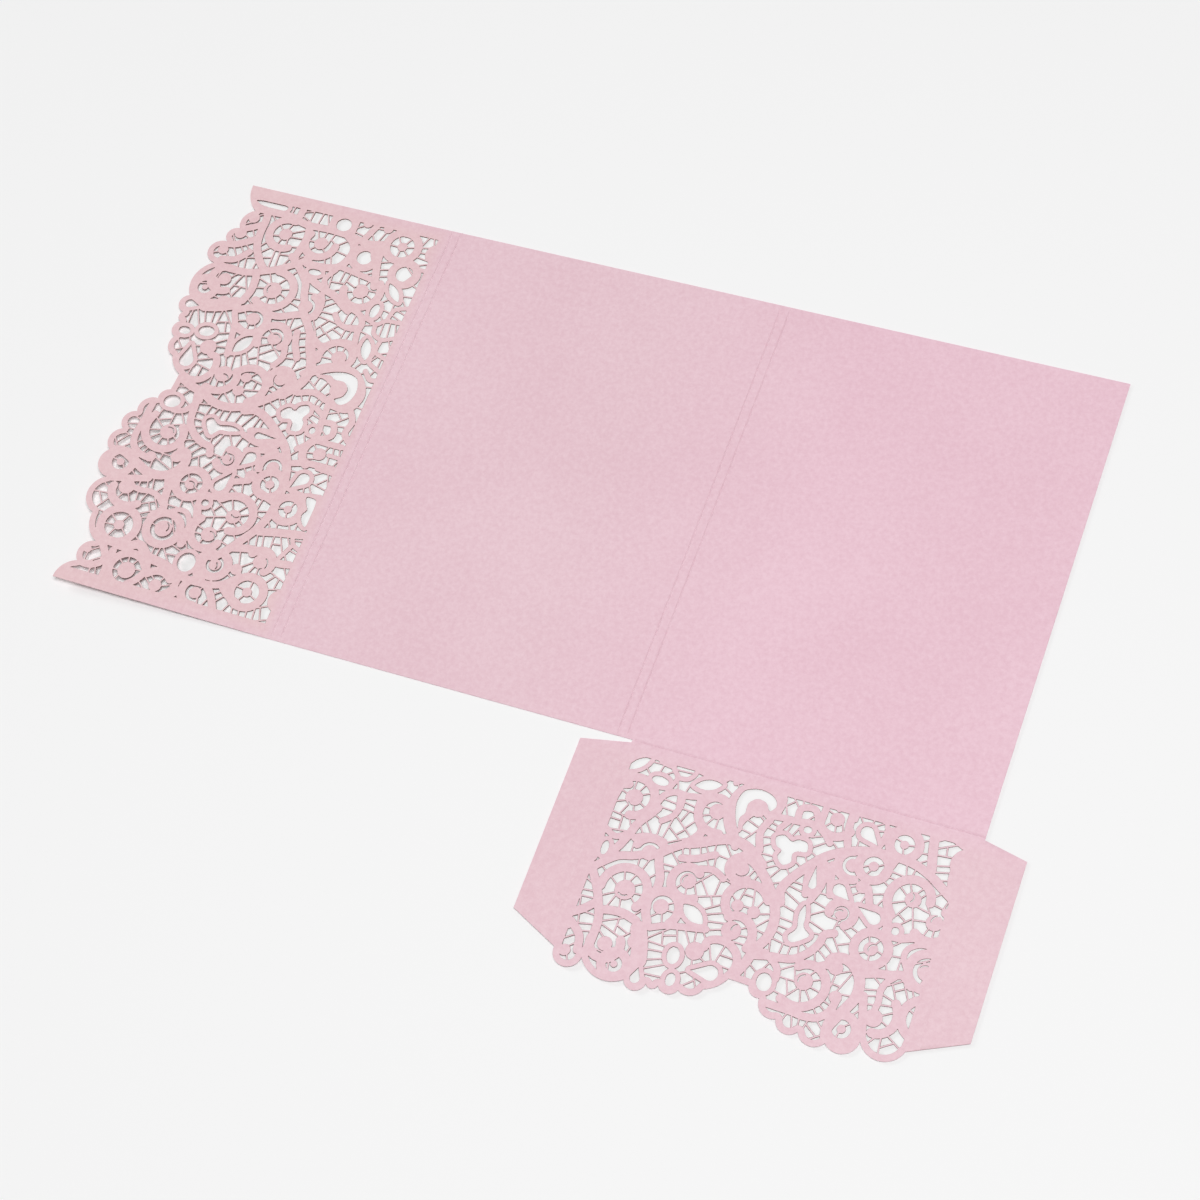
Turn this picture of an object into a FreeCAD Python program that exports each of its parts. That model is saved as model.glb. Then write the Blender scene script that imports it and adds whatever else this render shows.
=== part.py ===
import FreeCAD, Part
import math
import os

# Laser-cut pocket fold card, opened out: one sheet of card, in millimetres.
# Origin: middle of the centre panel's underside.  +X to the pocket panel,
# +Y to the top edge, +Z up.

Vec = FreeCAD.Vector

# The card and its panels
card_thickness = 0.35
panel_height = 178.0
centre_width = 127.0
pocket_panel_width = 125.0
spine_width = 3.5

# What is left of each fold once the card is opened out, in degrees
flap_lift = 2.4
pocket_panel_lift = 0.1
pocket_lift = 0.36

# Fold lines scored into the face
score_width = 0.5
score_depth = 0.1

# Glue tabs on both sides of the pocket, measured from the pocket fold down
tab_width = 15.0
tab_top = 1.1
tab_slope = 3.3
tab_chamfer = 8.6
notch_tip = 2.3

# The lace is drawn for a flap 178 high.  u runs from the fold to the free
# edge, v from the top edge down, and an angle of 0 points at the fold.
fold_margin = 4.0
end_margin = 5.2
rim_width = 2.3
tape_width = 3.0
frame_width = 1.6
bar_width = 0.5
bar_reach = 0.2
largest_cell = 48.0
smallest_cell = 5.0
thinnest_cell = 0.38
trim = 0.6

# The pocket takes the middle of the same drawing, a little smaller
pocket_span = 129.5
pocket_start = 23.94
pocket_rise = 3.73
pocket_margin = 5.0
first_pocket_lobe = 3
last_pocket_lobe = 16

# Free edge from the top down: a lobe's start, crown and end
LOBES = [
    ((84, 0), (82.4, 6.2), (78.3, 10.8)),
    ((78.3, 10.8), (81.9, 15.6), (81, 19.8)),
    ((81, 19.8), (84.8, 22.9), (83.3, 26.7)),
    ((83.3, 26.7), (89, 31.2), (84.2, 36.9)),
    ((84.2, 36.9), (89.6, 46.4), (87.4, 53.2)),
    ((87.4, 53.2), (90, 56.8), (86.5, 60.8)),
    ((86.5, 60.8), (87.6, 62.8), (85.9, 64.9)),
    ((85.9, 64.9), (87.8, 68.3), (85.4, 71.8)),
    ((85.4, 71.8), (86.1, 75.9), (82.5, 79.8)),
    ((82.5, 79.8), (80.4, 83.6), (76.6, 86.6)),
    ((76.6, 86.6), (76.7, 90.2), (76.9, 93.8)),
    ((76.9, 93.8), (79.4, 95.4), (80, 98.6)),
    ((80, 98.6), (84.8, 101), (85.2, 106)),
    ((85.2, 106), (89, 109.6), (87.2, 114.3)),
    ((87.2, 114.3), (90.6, 118.8), (88.2, 123.9)),
    ((88.2, 123.9), (90, 130.2), (84.2, 134.7)),
    ((84.2, 134.7), (88.6, 141.6), (83.1, 149.7)),
    ((83.1, 149.7), (81.8, 155.6), (76.8, 160.4)),
    ((76.8, 160.4), (81.5, 164.8), (80.1, 169.6)),
    ((80.1, 169.6), (84.3, 172.6), (86, 178)),
]
drawing_height = LOBES[-1][2][1]
widest = max(crown[0] for start, crown, end in LOBES) + rim_width

# Scrolls: u, v, eye radius, tape radius at start and end, start angle, sweep, bars
SCROLLS = [
    (16.2, 11.6, 1.9, 6.2, 6.4, 98, -360, 4),
    (10.9, 22.9, 1.8, 4.9, 4.9, 115, -360, 3),
    (28.5, 19.9, 1.6, 4.6, 4.6, 150, 360, 3),
    (62.4, 17.8, 2.6, 6.6, 6.4, 75, 225, 4),
    (47.4, 18.2, 2.7, 6.3, 6, 150, 210, 4),
    (77.3, 42.8, 2.6, 5.2, 5.4, 70, 230, 4),
    (83.2, 48.2, 1.2, 4.4, 4.4, 20, 360, 3),
    (57.2, 42.8, 3.6, 8.6, 7.4, 95, -225, 5),
    (59.3, 56.6, 2.7, 4.9, 6.6, 110, -245, 4),
    (47.8, 62.4, 2.8, 4.6, 6.8, -40, 255, 3),
    (42, 46.3, 2.8, 5.4, 5.4, 70, -130, 2),
    (24.2, 34.3, 3.1, 6.6, 7.8, 185, 215, 3),
    (20.9, 63.8, 2.9, 4.4, 8.2, -30, 230, 3),
    (60.4, 82, 3.4, 8.2, 5, 238, 150, 3),
    (50, 83.6, 0, 6.6, 7.8, 150, -215, 0),
    (38.3, 78.4, 2.6, 4.2, 4.5, 15, 205, 3),
    (70.1, 110.8, 3.1, 9.6, 5.6, 145, 250, 5),
    (52.8, 128.5, 2.4, 5.7, 5.9, 40, 360, 3),
    (43.8, 115.4, 2.2, 4.1, 4.4, 100, -250, 3),
    (26.3, 113.9, 2.4, 5.2, 5, 200, -190, 3),
    (24.6, 120.7, 1.7, 5.1, 5.1, 2, 360, 3),
    (32.2, 136.8, 2.8, 9, 5.8, 140, -225, 5),
    (75.3, 136.4, 3.1, 5, 8.8, 190, 130, 3),
    (55, 148.6, 3.3, 6.3, 6.5, 0, 360, 6),
    (71.4, 151.9, 2, 6.9, 6.9, 10, 360, 6),
    (61, 168, 3.3, 6.9, 6.6, 30, 225, 5),
    (38, 145.9, 2.9, 5.2, 7.4, -30, -195, 3),
    (15.2, 163.4, 1.8, 6, 6.2, 98, -360, 4),
    (11.9, 103.9, 2.5, 6.2, 6.4, 100, 140, 3),
    (14.2, 128.3, 1.5, 5, 5.2, 60, 360, 3),
    (82, 127.6, 1.5, 4.8, 4.8, 115, -360, 4),
    (33.2, 169, 2.3, 5.4, 5, 90, 190, 3),
    (47, 168.4, 2.4, 6, 5.8, 40, -100, 3),
    (30.8, 156.6, 2.3, 4.9, 4.9, 60, -300, 3),
    (15.4, 150.8, 2.7, 4.6, 4.4, 150, -200, 3),
]

# Stems: width, then the points they run through
STEMS = [
    (3.2, (84, 37), (77.6, 37.9), (69.8, 37.7), (64, 35.6), (58.5, 33), (52, 28.5), (49, 25.5)),
    (5.8, (79.5, 55.6), (74, 54.2), (69, 52)),
    (3.2, (66.2, 37.4), (65.4, 41), (65.3, 45.5), (66.6, 50.2)),
    (3.1, (56, 26.5), (50.5, 31.2), (46.2, 36.2), (44.7, 41), (43, 44.8)),
    (3.2, (41, 49.5), (45, 50.8), (49.5, 52.8), (54, 53), (58, 51.2), (62.5, 52.2), (66, 54)),
    (2.6, (67.4, 55.5), (65.2, 60.3), (64.2, 64.8), (63.4, 69.5), (62.5, 73.8)),
    (3.2, (47.5, 31.5), (43.5, 34.8), (38, 37.2), (33, 38.8), (28.8, 41.6), (25.5, 43.6)),
    (2.6, (24, 42.6), (20.3, 44.2), (18.2, 47.4), (18.4, 51.6), (17.6, 56)),
    (2.4, (29.6, 46.4), (26.7, 49.6), (22.8, 50.8), (18.6, 50.4)),
    (3.2, (41, 50), (38.3, 53), (35.2, 57), (31, 60.4), (28.3, 60.8)),
    (2.8, (36.9, 49.6), (36.4, 46), (36.8, 42.5), (38.2, 39.6)),
    (2.8, (40.6, 57.5), (39.3, 62.5), (37.2, 66.2), (36.2, 68.2)),
    (4, (34.8, 58), (33, 62.5), (31.2, 66), (29.4, 71), (29.8, 76), (32, 80.6), (35.2, 84.4)),
    (3, (76, 86.2), (72, 87.6), (68, 86.6), (65.3, 83.4), (64.6, 79.4), (66, 76), (68.5, 75.4)),
    (3.6, (75.5, 87.6), (69.5, 90.3), (64.5, 91.6), (59.5, 94.2), (54, 94.9), (48.5, 93.6), (43.5,
     90.6), (38.5, 86.3), (34.8, 81.5), (33.8, 77.5)),
    (3, (66.2, 92.8), (65, 97.5), (64.6, 101.5), (63.4, 105.5), (60, 109.3), (56, 111.6), (52.6,
     112.3), (51.2, 115.2)),
    (2.6, (17.2, 80.5), (16.6, 86.8), (16.4, 91.5), (15.8, 96.5), (17.5, 100.8), (20.8, 104)),
    (3.4, (46, 94.6), (41.5, 93.4), (36.5, 95.6), (32, 98.8), (28, 102), (24.5, 106), (21.6, 111.5),
     (19.8, 118), (19.2, 126), (19.8, 133), (22.2, 139.5), (26, 145.5), (29, 150), (32.5, 153.5),
     (36, 154.2)),
    (2.8, (80.8, 99.5), (81, 104.5), (81.2, 110), (81.6, 114.5), (80.6, 119), (77.4, 122), (73.5,
     123)),
    (3.8, (87, 123.6), (83, 123), (79, 124.6), (74.5, 127), (70, 128.8), (64.5, 128.4), (60.4,
     125.4), (58.6, 121.5), (59.6, 117.6), (62, 117)),
    (2.4, (72.5, 136), (69.5, 136.3), (66, 135.9), (62.5, 136.8), (60, 139)),
    (3.2, (61.5, 129.5), (60.2, 133.5), (59.6, 137.5), (58.6, 141.5), (61.4, 145)),
    (2.2, (56, 141.8), (52.6, 139.8), (49.3, 140.2), (46.8, 143.5), (46.2, 148)),
    (3.2, (46.2, 131.5), (46.4, 136.5), (44.9, 141.5), (46, 147), (46.2, 152.5)),
    (3.8, (77.6, 160.9), (72, 158.9), (66, 159.4), (60.5, 157.2), (56, 160.6), (50, 161.7), (45.5,
     163)),
    (3.2, (73.6, 8), (72.4, 14), (72.3, 20), (71, 26), (67.6, 31.5), (64, 35)),
    (3.2, (80.6, 9.6), (72, 9.6), (63.4, 9.6), (56, 11.6), (47, 11.4), (38, 12), (30, 13.6), (24,
     12.5)),
    (3.2, (23.4, 13), (23.2, 19), (21.4, 26), (20, 31)),
    (3.2, (54.6, 12), (53.6, 18), (54.8, 26)),
    (3.4, (38.6, 12), (34.6, 15.5), (33.8, 20), (36.4, 26), (42, 28), (49, 28)),
    (2.6, (36.4, 26), (28, 27.4), (21, 28.6)),
    (3, (83, 20.6), (78.4, 19.2), (73, 16)),
    (3.2, (85, 27.4), (79.6, 27), (73, 23)),
    (3, (82.2, 34.6), (77, 33.4), (73, 29)),
    (2.8, (37.6, 4.5), (37.6, 12)),
    (2.8, (46.4, 4.5), (46.6, 11)),
    (2.8, (28.8, 4), (31.8, 12)),
    (3, (60, 4), (60.4, 9.8)),
    (2.4, (37.2, 28), (39.6, 33), (36.4, 38)),
    (2.6, (43.6, 73.6), (41.6, 69.4), (42.4, 65)),
    (3, (28.6, 60.8), (23.4, 57.4), (17.6, 57)),
    (2.8, (31.4, 73.6), (22, 67.6), (12, 68.4), (6.4, 76), (9, 83.6), (16, 83.6)),
    (3, (31, 77.6), (27.6, 72), (22, 72.6), (18, 75)),
    (2.8, (30, 82), (24, 80.2), (18.6, 82)),
    (2.4, (20.8, 86), (17, 88.4)),
    (2.6, (16.4, 91), (11.6, 91), (10.6, 95.6), (14.6, 98.6), (5, 99)),
    (2.6, (64.2, 95.2), (68, 100.6), (72, 101.6)),
    (2.8, (38.6, 109.8), (33.4, 108.4), (28, 107.4)),
    (2.8, (40.6, 101.8), (34, 100.6), (29, 101.2)),
    (2.6, (42.4, 104), (36, 106), (28.6, 105)),
    (2.8, (63.6, 114), (60.6, 119.2)),
    (2.8, (38.6, 123.4), (40.2, 130.4), (46.2, 131.2)),
    (2.8, (32.8, 121.4), (38.6, 123.6)),
    (3, (28.4, 124.2), (19.8, 127.2)),
    (2.6, (19.8, 119), (12.4, 121.6), (5, 120.6)),
    (3.4, (5, 136.6), (13.4, 138), (20.4, 139.6)),
    (2.8, (19.8, 110), (14.6, 108.6), (5, 108.4)),
    (3, (83.6, 134.9), (76, 133), (69, 131)),
    (3, (48.6, 162.4), (42, 164.4), (34, 165), (26, 163.6), (20, 158.6)),
    (3, (56.6, 173), (56.4, 168)),
    (2.8, (53.2, 167), (53, 173)),
    (3, (40.4, 164), (40.6, 173)),
    (3, (28.6, 165), (28.4, 173)),
    (3, (24, 163.4), (23.2, 173)),
    (3, (74, 160.4), (70.6, 166), (74.2, 169.6), (80, 169.6)),
    (3, (69, 162), (68.6, 173)),
    (3.2, (27, 148.4), (19, 147), (10, 149.4), (5, 149)),
    (3, (36.6, 154.6), (36.6, 160), (34, 164.4)),
    (1.9, (18.4, 44.6), (13, 46.4), (9.6, 44), (4, 43.6)),
    (1.9, (9.6, 44), (8.4, 38.8), (4, 36.8)),
    (1.9, (13, 46.4), (12.2, 50.4), (8.4, 52.2), (4, 50.4)),
    (1.9, (8.4, 52.2), (8.6, 57.6), (4, 59.6)),
    (1.9, (8.6, 57.6), (9.2, 62.4), (4, 65.4)),
    (2.1, (9, 66.4), (6.2, 69.4), (4, 69.4)),
    (2.6, (7.6, 84), (5.4, 88), (6.2, 93), (4, 95.8)),
    (1.8, (4, 103.6), (8.4, 103.4)),
    (1.8, (10.4, 109.8), (4, 110.2)),
    (1.8, (8.4, 137.2), (6.6, 141), (4, 142.4)),
    (1.8, (6.6, 141), (9.4, 147.4)),
    (1.9, (9.8, 17.2), (7.4, 19.4), (4, 19.6)),
]

# Beads: u, v, radius
BEADS = [
    (2.2, 11.6, 4.4),
    (2.2, 163.4, 4.6),
    (14.4, 98.4, 1.8),
    (79.1, 67.1, 0.8),
    (20.9, 157.5, 1),
    (77.4, 14, 2.2),
    (79.8, 21.7, 2.4),
    (83.4, 30.4, 2.1),
    (70.8, 72.7, 3.2),
    (51.3, 81.2, 2.1),
    (52, 87.2, 2.2),
    (32.6, 119.4, 2.4),
    (22.6, 156.1, 2.2),
    (78.3, 164.2, 1.5),
    (62.5, 119.5, 2.5),
    (33, 5, 1.9),
    (24.4, 5.4, 1.9),
    (15.8, 76.8, 3.2),
    (72.2, 122.4, 2.2),
    (73.6, 52.4, 2.6),
    (69.4, 52.4, 2.7),
]

# Eyelets, framed openings: u, v, half length, half width, tilt
EYELETS = [
    (74.4, 66.3, 3.2, 2.3, 8),
    (82.7, 68.2, 2.4, 1.8, 0),
    (44.6, 30.9, 2.7, 1.4, 0),
    (15.7, 41, 3.2, 1.7, 85),
    (74.2, 98.3, 3.3, 2.7, 12),
    (44.5, 134.4, 1.5, 1.4, 0),
    (41.2, 158.7, 3.9, 3.4, 90),
    (42, 8, 3.1, 2.9, 0),
]

# Drops, framed openings: u, v, round end's radius, distance to the tip, tilt
DROPS = [
    (85.8, 56.6, 1.8, 4, 0),
    (76.6, 80.2, 2.8, 6.9, 98),
    (36, 112.2, 2.3, 5.2, -122),
    (42.3, 126.3, 2.3, 6.9, 68),
    (13.6, 115, 2.4, 6, -126),
    (36.9, 103, 1.5, 7.2, 6),
]

# Leaves, framed openings between two arcs: u, v, length, width, tilt
LEAVES = [
    (11.6, 31.6, 9.6, 3.4, -48),
    (58.6, 67.9, 10, 5, 60),
    (12.4, 57.6, 9.8, 4, -73),
    (70, 6.8, 13, 2.2, 0),
]

# The trefoil, crescent and bird, framed openings drawn as smooth closed curves
FIGURES = [
    ((33, 91), (31.2, 93.6), (28.4, 93.2), (27, 94.4), (26.2, 97.6), (23, 96.8), (22.6, 93.6),
     (23.8, 91.4), (22.4, 88.4), (24, 85.8), (27, 87), (28, 89), (30.6, 88.4)),
    ((24.9, 72.2), (20, 69.8), (15, 68.9), (10.6, 70.4), (8.8, 75.4), (10, 80.4), (13, 82.6),
     (15.7, 80.8), (13.2, 78.8), (12.6, 75.4), (15, 73), (18.6, 73), (21, 71.8)),
    ((58.4, 102.4), (56.4, 100.6), (53, 102.6), (48, 101.8), (44.4, 103), (48, 104.4),
     (51.8, 104.9), (54.2, 107.6), (56.6, 105.6)),
    ((9.4, 121.6), (5.6, 122), (5, 127), (5.2, 133), (7.6, 131.4), (8.4, 128.8), (7.4, 126.4), (8.6, 124.4)),
]


def polar(u, v, radius, angle):
    turn = math.radians(angle)
    return (u - radius * math.cos(turn), v - radius * math.sin(turn))


def spin(u, v, along, across, angle):
    """The point so far along and across an axis tilted by the angle."""
    c = math.cos(math.radians(angle))
    s = math.sin(math.radians(angle))
    return (u - along * c + across * s, v - along * s - across * c)


def smooth(points, closed=False):
    """Points along the Catmull-Rom curve through the given ones."""
    if closed:
        ends = [points[-1]] + list(points) + [points[0], points[1]]
    else:
        ends = [points[0]] + list(points) + [points[-1]]
    steps = 3
    curve = []
    for a, b, c, d in zip(ends, ends[1:], ends[2:], ends[3:]):
        for k in range(steps):
            t = k / steps
            wa = -t ** 3 + 2 * t ** 2 - t
            wb = 3 * t ** 3 - 5 * t ** 2 + 2
            wc = -3 * t ** 3 + 4 * t ** 2 + t
            wd = t ** 3 - t ** 2
            curve.append(tuple((wa * a[i] + wb * b[i] + wc * c[i] + wd * d[i]) / 2 for i in (0, 1)))
    if not closed:
        curve.append(tuple(points[-1]))
    return curve


def patch(points):
    """A flat face with straight sides."""
    corners = [Vec(p[0], p[1], 0) for p in points]
    return Part.Face(Part.makePolygon(corners + corners[:1]))


def ribbon(points, width):
    """Faces covering a band of the given width along the points, with round ends."""
    half = width / 2
    headings = []
    for k in range(len(points)):
        before = points[max(k - 1, 0)]
        after = points[min(k + 1, len(points) - 1)]
        headings.append(math.atan2(after[1] - before[1], after[0] - before[0]))
    faces = []
    first = 0
    turned = 0.0
    for k in range(1, len(points)):
        step = headings[k] - headings[k - 1]
        turned += abs((step + math.pi) % (2 * math.pi) - math.pi)
        last = k == len(points) - 1
        if turned < 2.4 and not last:
            continue
        span = range(first, k + 1)
        left = [side(points[i], headings[i] + math.pi / 2, half) for i in span]
        right = [side(points[i], headings[i] - math.pi / 2, half) for i in span]
        nose = []
        tail = []
        if last:
            nose = [side(points[k], headings[k] + a, half) for a in (0.79, 0, -0.79)]
        if first == 0:
            tail = [side(points[0], headings[0] + math.pi + a, half) for a in (0.79, 0, -0.79)]
        faces.append(patch(left + nose + right[::-1] + tail))
        first = k
        turned = 0.0
    return faces


def side(point, heading, distance):
    return (point[0] + distance * math.cos(heading), point[1] + distance * math.sin(heading))


def disc(u, v, radius):
    count = max(8, int(3 * radius) + 4)
    return patch([polar(u, v, radius, 360 * k / count) for k in range(count)])


def scroll(u, v, eye, start_radius, end_radius, start, sweep, bars):
    """A tape curling round an eye, held to it by radial bars."""
    count = max(4, int(abs(sweep) / 22))
    line = []
    for k in range(count + 1):
        radius = start_radius + (end_radius - start_radius) * k / count
        line.append(polar(u, v, radius, start + sweep * k / count))
    faces = ribbon(line, tape_width)
    if eye > 0:
        faces.append(disc(u, v, eye))
    spokes = int(bars)
    for k in range(spokes):
        share = (k + 0.5) / spokes
        angle = start + sweep * share
        radius = start_radius + (end_radius - start_radius) * share
        faces.append(bar(polar(u, v, eye * 0.6, angle), polar(u, v, radius, angle), 0))
    return faces


def bar(p, q, reach):
    """A thin bar from p to q, running on by reach at both ends."""
    heading = math.atan2(q[1] - p[1], q[0] - p[0])
    p = side(p, heading + math.pi, reach)
    q = side(q, heading, reach)
    half = bar_width / 2
    left = heading + math.pi / 2
    return patch([side(p, left, half), side(q, left, half), side(q, left, -half), side(p, left, -half)])


def eyelet(u, v, length, width, tilt, count=10):
    turns = [2 * math.pi * k / count for k in range(count)]
    return [spin(u, v, length * math.cos(t), width * math.sin(t), tilt) for t in turns]


def drop(u, v, radius, reach, tilt, count=6):
    flank = math.degrees(math.acos(radius / reach))
    sweep = 360 - 2 * flank
    tail = [polar(u, v, radius, tilt + flank + sweep * k / count) for k in range(count + 1)]
    return tail + [polar(u, v, reach, tilt)]


def leaf(u, v, length, width, tilt, count=3):
    radius = (length ** 2 + width ** 2) / (4 * width)
    half = math.asin(length / 2 / radius)
    points = []
    for way in (1, -1):
        for k in range(count):
            turn = half * (2 * k / count - 1)
            across = radius * math.cos(turn) - (radius - width / 2)
            points.append(spin(u, v, way * radius * math.sin(turn), way * across, tilt))
    return points


def grown(points, distance):
    """The outline moved outward by the distance."""
    outward = math.copysign(distance, area(points))
    corners = []
    for before, p, after in zip(points[-1:] + points[:-1], points, points[1:] + points[:1]):
        heading = math.atan2(after[1] - before[1], after[0] - before[0])
        corners.append(side(p, heading - math.pi / 2, outward))
    return patch(corners)


def arc_points(start, crown, end, count=8):
    arc = Part.Arc(Vec(*start, 0), Vec(*crown, 0), Vec(*end, 0))
    return [(p.x, p.y) for p in arc.discretize(count + 1)]


def area(points):
    return sum(p[0] * q[1] - q[0] * p[1] for p, q in zip(points, points[1:] + points[:1])) / 2


def perimeter(points):
    return sum(math.dist(p, q) for p, q in zip(points, points[1:] + points[:1]))


def crosses(a, b, c, d):
    def turn(p, q, r):
        return (q[0] - p[0]) * (r[1] - p[1]) - (q[1] - p[1]) * (r[0] - p[0])
    return turn(a, b, c) * turn(a, b, d) < 0 and turn(c, d, a) * turn(c, d, b) < 0


def inside(point, points):
    u, v = point
    odd = False
    for p, q in zip(points, points[1:] + points[:1]):
        if (p[1] > v) != (q[1] > v) and u < (q[0] - p[0]) * (v - p[1]) / (q[1] - p[1]) + p[0]:
            odd = not odd
    return odd


def stepped(points, spacing):
    """The outline with extra points so no side is longer than the spacing."""
    dense = []
    for p, q in zip(points, points[1:] + points[:1]):
        count = max(1, math.ceil(math.dist(p, q) / spacing))
        for k in range(count):
            dense.append((p[0] + (q[0] - p[0]) * k / count, p[1] + (q[1] - p[1]) * k / count))
    return dense


def crossbars(points):
    """Chords that share a wide opening out into cells, each the shortest near its middle."""
    if abs(area(points)) < largest_cell:
        return []
    dense = stepped(points, 1.8)
    run = [0.0]
    for p, q in zip(dense, dense[1:] + dense[:1]):
        run.append(run[-1] + math.dist(p, q))
    total = run[-1]
    chords = []
    for i in range(len(dense)):
        for j in range(i + 2, len(dense)):
            shorter = min(run[j] - run[i], total - run[j] + run[i])
            length = math.dist(dense[i], dense[j])
            if shorter > 0.25 * total and length < 0.65 * shorter:
                chords.append((length / shorter, i, j))
    chords.sort()
    for score, i, j in chords[:200]:
        p = dense[i]
        q = dense[j]
        middle = ((p[0] + q[0]) / 2, (p[1] + q[1]) / 2)
        if not inside(middle, dense):
            continue
        if any(crosses(p, q, a, b) for a, b in zip(dense, dense[1:] + dense[:1])):
            continue
        one = dense[i:j + 1]
        two = dense[j:] + dense[:i + 1]
        return [(p, q)] + crossbars(one) + crossbars(two)
    return []


def links(face):
    """Bars from a piece standing free inside an opening to the card around it."""
    found = []
    outer = stepped(corners_of(face.OuterWire), 1.0)
    for wire in face.Wires:
        if wire.isSame(face.OuterWire):
            continue
        ring = stepped(corners_of(wire), 1.0)
        mid = (sum(p[0] for p in ring) / len(ring), sum(p[1] for p in ring) / len(ring))
        for k in range(4):
            near = [p for p in ring if quarter(p, mid) == k]
            if near:
                found.append(min(((p, q) for p in near for q in outer), key=lambda c: math.dist(*c)))
    return found


def quarter(p, mid):
    return int(math.atan2(p[1] - mid[1], p[0] - mid[0]) / (math.pi / 2) + 4.5) % 4


def corners_of(wire):
    return [(v.X, v.Y) for v in wire.OrderedVertexes]


def thinned(points, slack):
    """The outline with only the points that stray more than the slack from it."""
    def between(run):
        p = run[0]
        q = run[-1]
        span = max(math.dist(p, q), 1e-6)
        worst = 0.0
        at = 0
        for k in range(1, len(run) - 1):
            r = run[k]
            off = abs((q[0] - p[0]) * (r[1] - p[1]) - (q[1] - p[1]) * (r[0] - p[0])) / span
            if off > worst:
                worst = off
                at = k
        if worst <= slack:
            return [p]
        return between(run[:at + 1]) + between(run[at:])
    far = max(range(len(points)), key=lambda k: math.dist(points[k], points[0]))
    return between(points[:far + 1]) + between(points[far:] + points[:1])


def tangled(points):
    """Whether any two sides of the outline cross."""
    sides = list(zip(points, points[1:] + points[:1]))
    return any(crosses(*sides[i], *sides[j]) for i in range(len(sides)) for j in range(i))


def cells_of(faces):
    """The outlines of the openings worth cutting."""
    outlines = []
    for face in faces:
        full = corners_of(face.OuterWire)
        outline = thinned(full, trim)
        if tangled(outline):
            outline = full
        size = abs(area(outline)) if len(outline) > 2 else 0
        if size > smallest_cell and size > thinnest_cell * perimeter(outline):
            outlines.append(outline)
    return outlines


def lace():
    """All openings of the drawing: the net between the tapes, then the framed ones."""
    top = end_margin
    bottom = drawing_height - end_margin
    edge = []
    for lobe in LOBES:
        edge += arc_points(*lobe)[:-1]
    field = patch([(fold_margin, 0)] + edge + [LOBES[-1][2], (fold_margin, drawing_height)])
    ground = patch([(fold_margin, top), (widest, top), (widest, bottom), (fold_margin, bottom)])
    solids = []
    for lobe in LOBES:
        broad = math.dist(lobe[0], lobe[2]) > 3 * rim_width
        solids += ribbon(arc_points(*lobe) if broad else lobe, 2 * rim_width)
    for row in SCROLLS:
        solids += scroll(*row)
    for width, *points in STEMS:
        solids += ribbon(smooth(points), width)
    for row in BEADS:
        solids.append(disc(*row))
    framed = [eyelet(*row) for row in EYELETS] + [drop(*row) for row in DROPS]
    framed += [leaf(*row) for row in LEAVES]
    solids += [grown(outline, frame_width) for outline in framed]
    for row in FIGURES:
        curve = smooth(row, True)
        solids.append(patch(curve))
        for p, q in zip(row, row[1:] + row[:1]):
            solids += ribbon([p, q], 2 * frame_width)
        framed.append(thinned(curve, trim / 5))
    windows = field.common(ground).cut(solids).Faces
    windows = barred(windows, links)
    return barred(windows, lambda face: crossbars(corners_of(face.OuterWire))), framed


def barred(windows, chords_in):
    """The windows with a thin bar left along every chord found in them."""
    cells = []
    for face in windows:
        bars = [bar(p, q, bar_reach) for p, q in chords_in(face)]
        cells += face.cut(bars).Faces if bars else [face]
    return cells


def clipped(faces, window):
    """What the window shows of the faces."""
    kept = []
    for face in faces:
        kept += face.common(window).Faces
    return kept


def plate(edges, outlines):
    """The sheet inside the edges, which run anticlockwise, with the openings cut through."""
    wires = [Part.Wire(edges)]
    for outline in outlines:
        clockwise = outline[::-1] if area(outline) > 0 else outline
        corners = [Vec(p[0], p[1], 0) for p in clockwise]
        wires.append(Part.makePolygon(corners + corners[:1]))
    return Part.Face(wires).extrude(Vec(0, 0, card_thickness))


def joined(points, place):
    placed = [Vec(*place(p), 0) for p in points]
    return [Part.makeLine(p, q) for p, q in zip(placed, placed[1:])]


def lobed(lobes, place):
    edges = []
    for lobe in lobes:
        a, b, c = [Vec(*place(p), 0) for p in lobe]
        if abs((b - a).cross(c - b).z) < 0.5:
            edges.append(Part.makeLine(a, c))
        else:
            edges.append(Part.Arc(a, b, c).toShape())
    return edges


def score(p, q):
    """The V pressed along a fold from p to q."""
    along = Vec(q[0] - p[0], q[1] - p[1], 0)
    across = Vec(0, 0, 1).cross(along).normalize() * (score_width / 2)
    face = Vec(p[0], p[1], card_thickness)
    rise = Vec(0, 0, score_depth)
    corners = [face - rise, face + across, face + across + rise, face - across + rise, face - across]
    return Part.Face(Part.makePolygon(corners + corners[:1])).extrude(along)


def flap(net, framed):
    """The lace flap, its fold on x = 0 and its free edge to -X."""
    scale = panel_height / drawing_height

    def place(p):
        return (-p[0] * scale, panel_height / 2 - p[1] * scale)
    top = LOBES[0][0]
    bottom = LOBES[-1][2]
    edges = joined([(0, 0), top], place) + lobed(LOBES, place)
    edges += joined([bottom, (0, drawing_height), (0, 0)], place)
    outlines = [[place(p) for p in outline] for outline in cells_of(net) + framed]
    return plate(edges, outlines)


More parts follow.
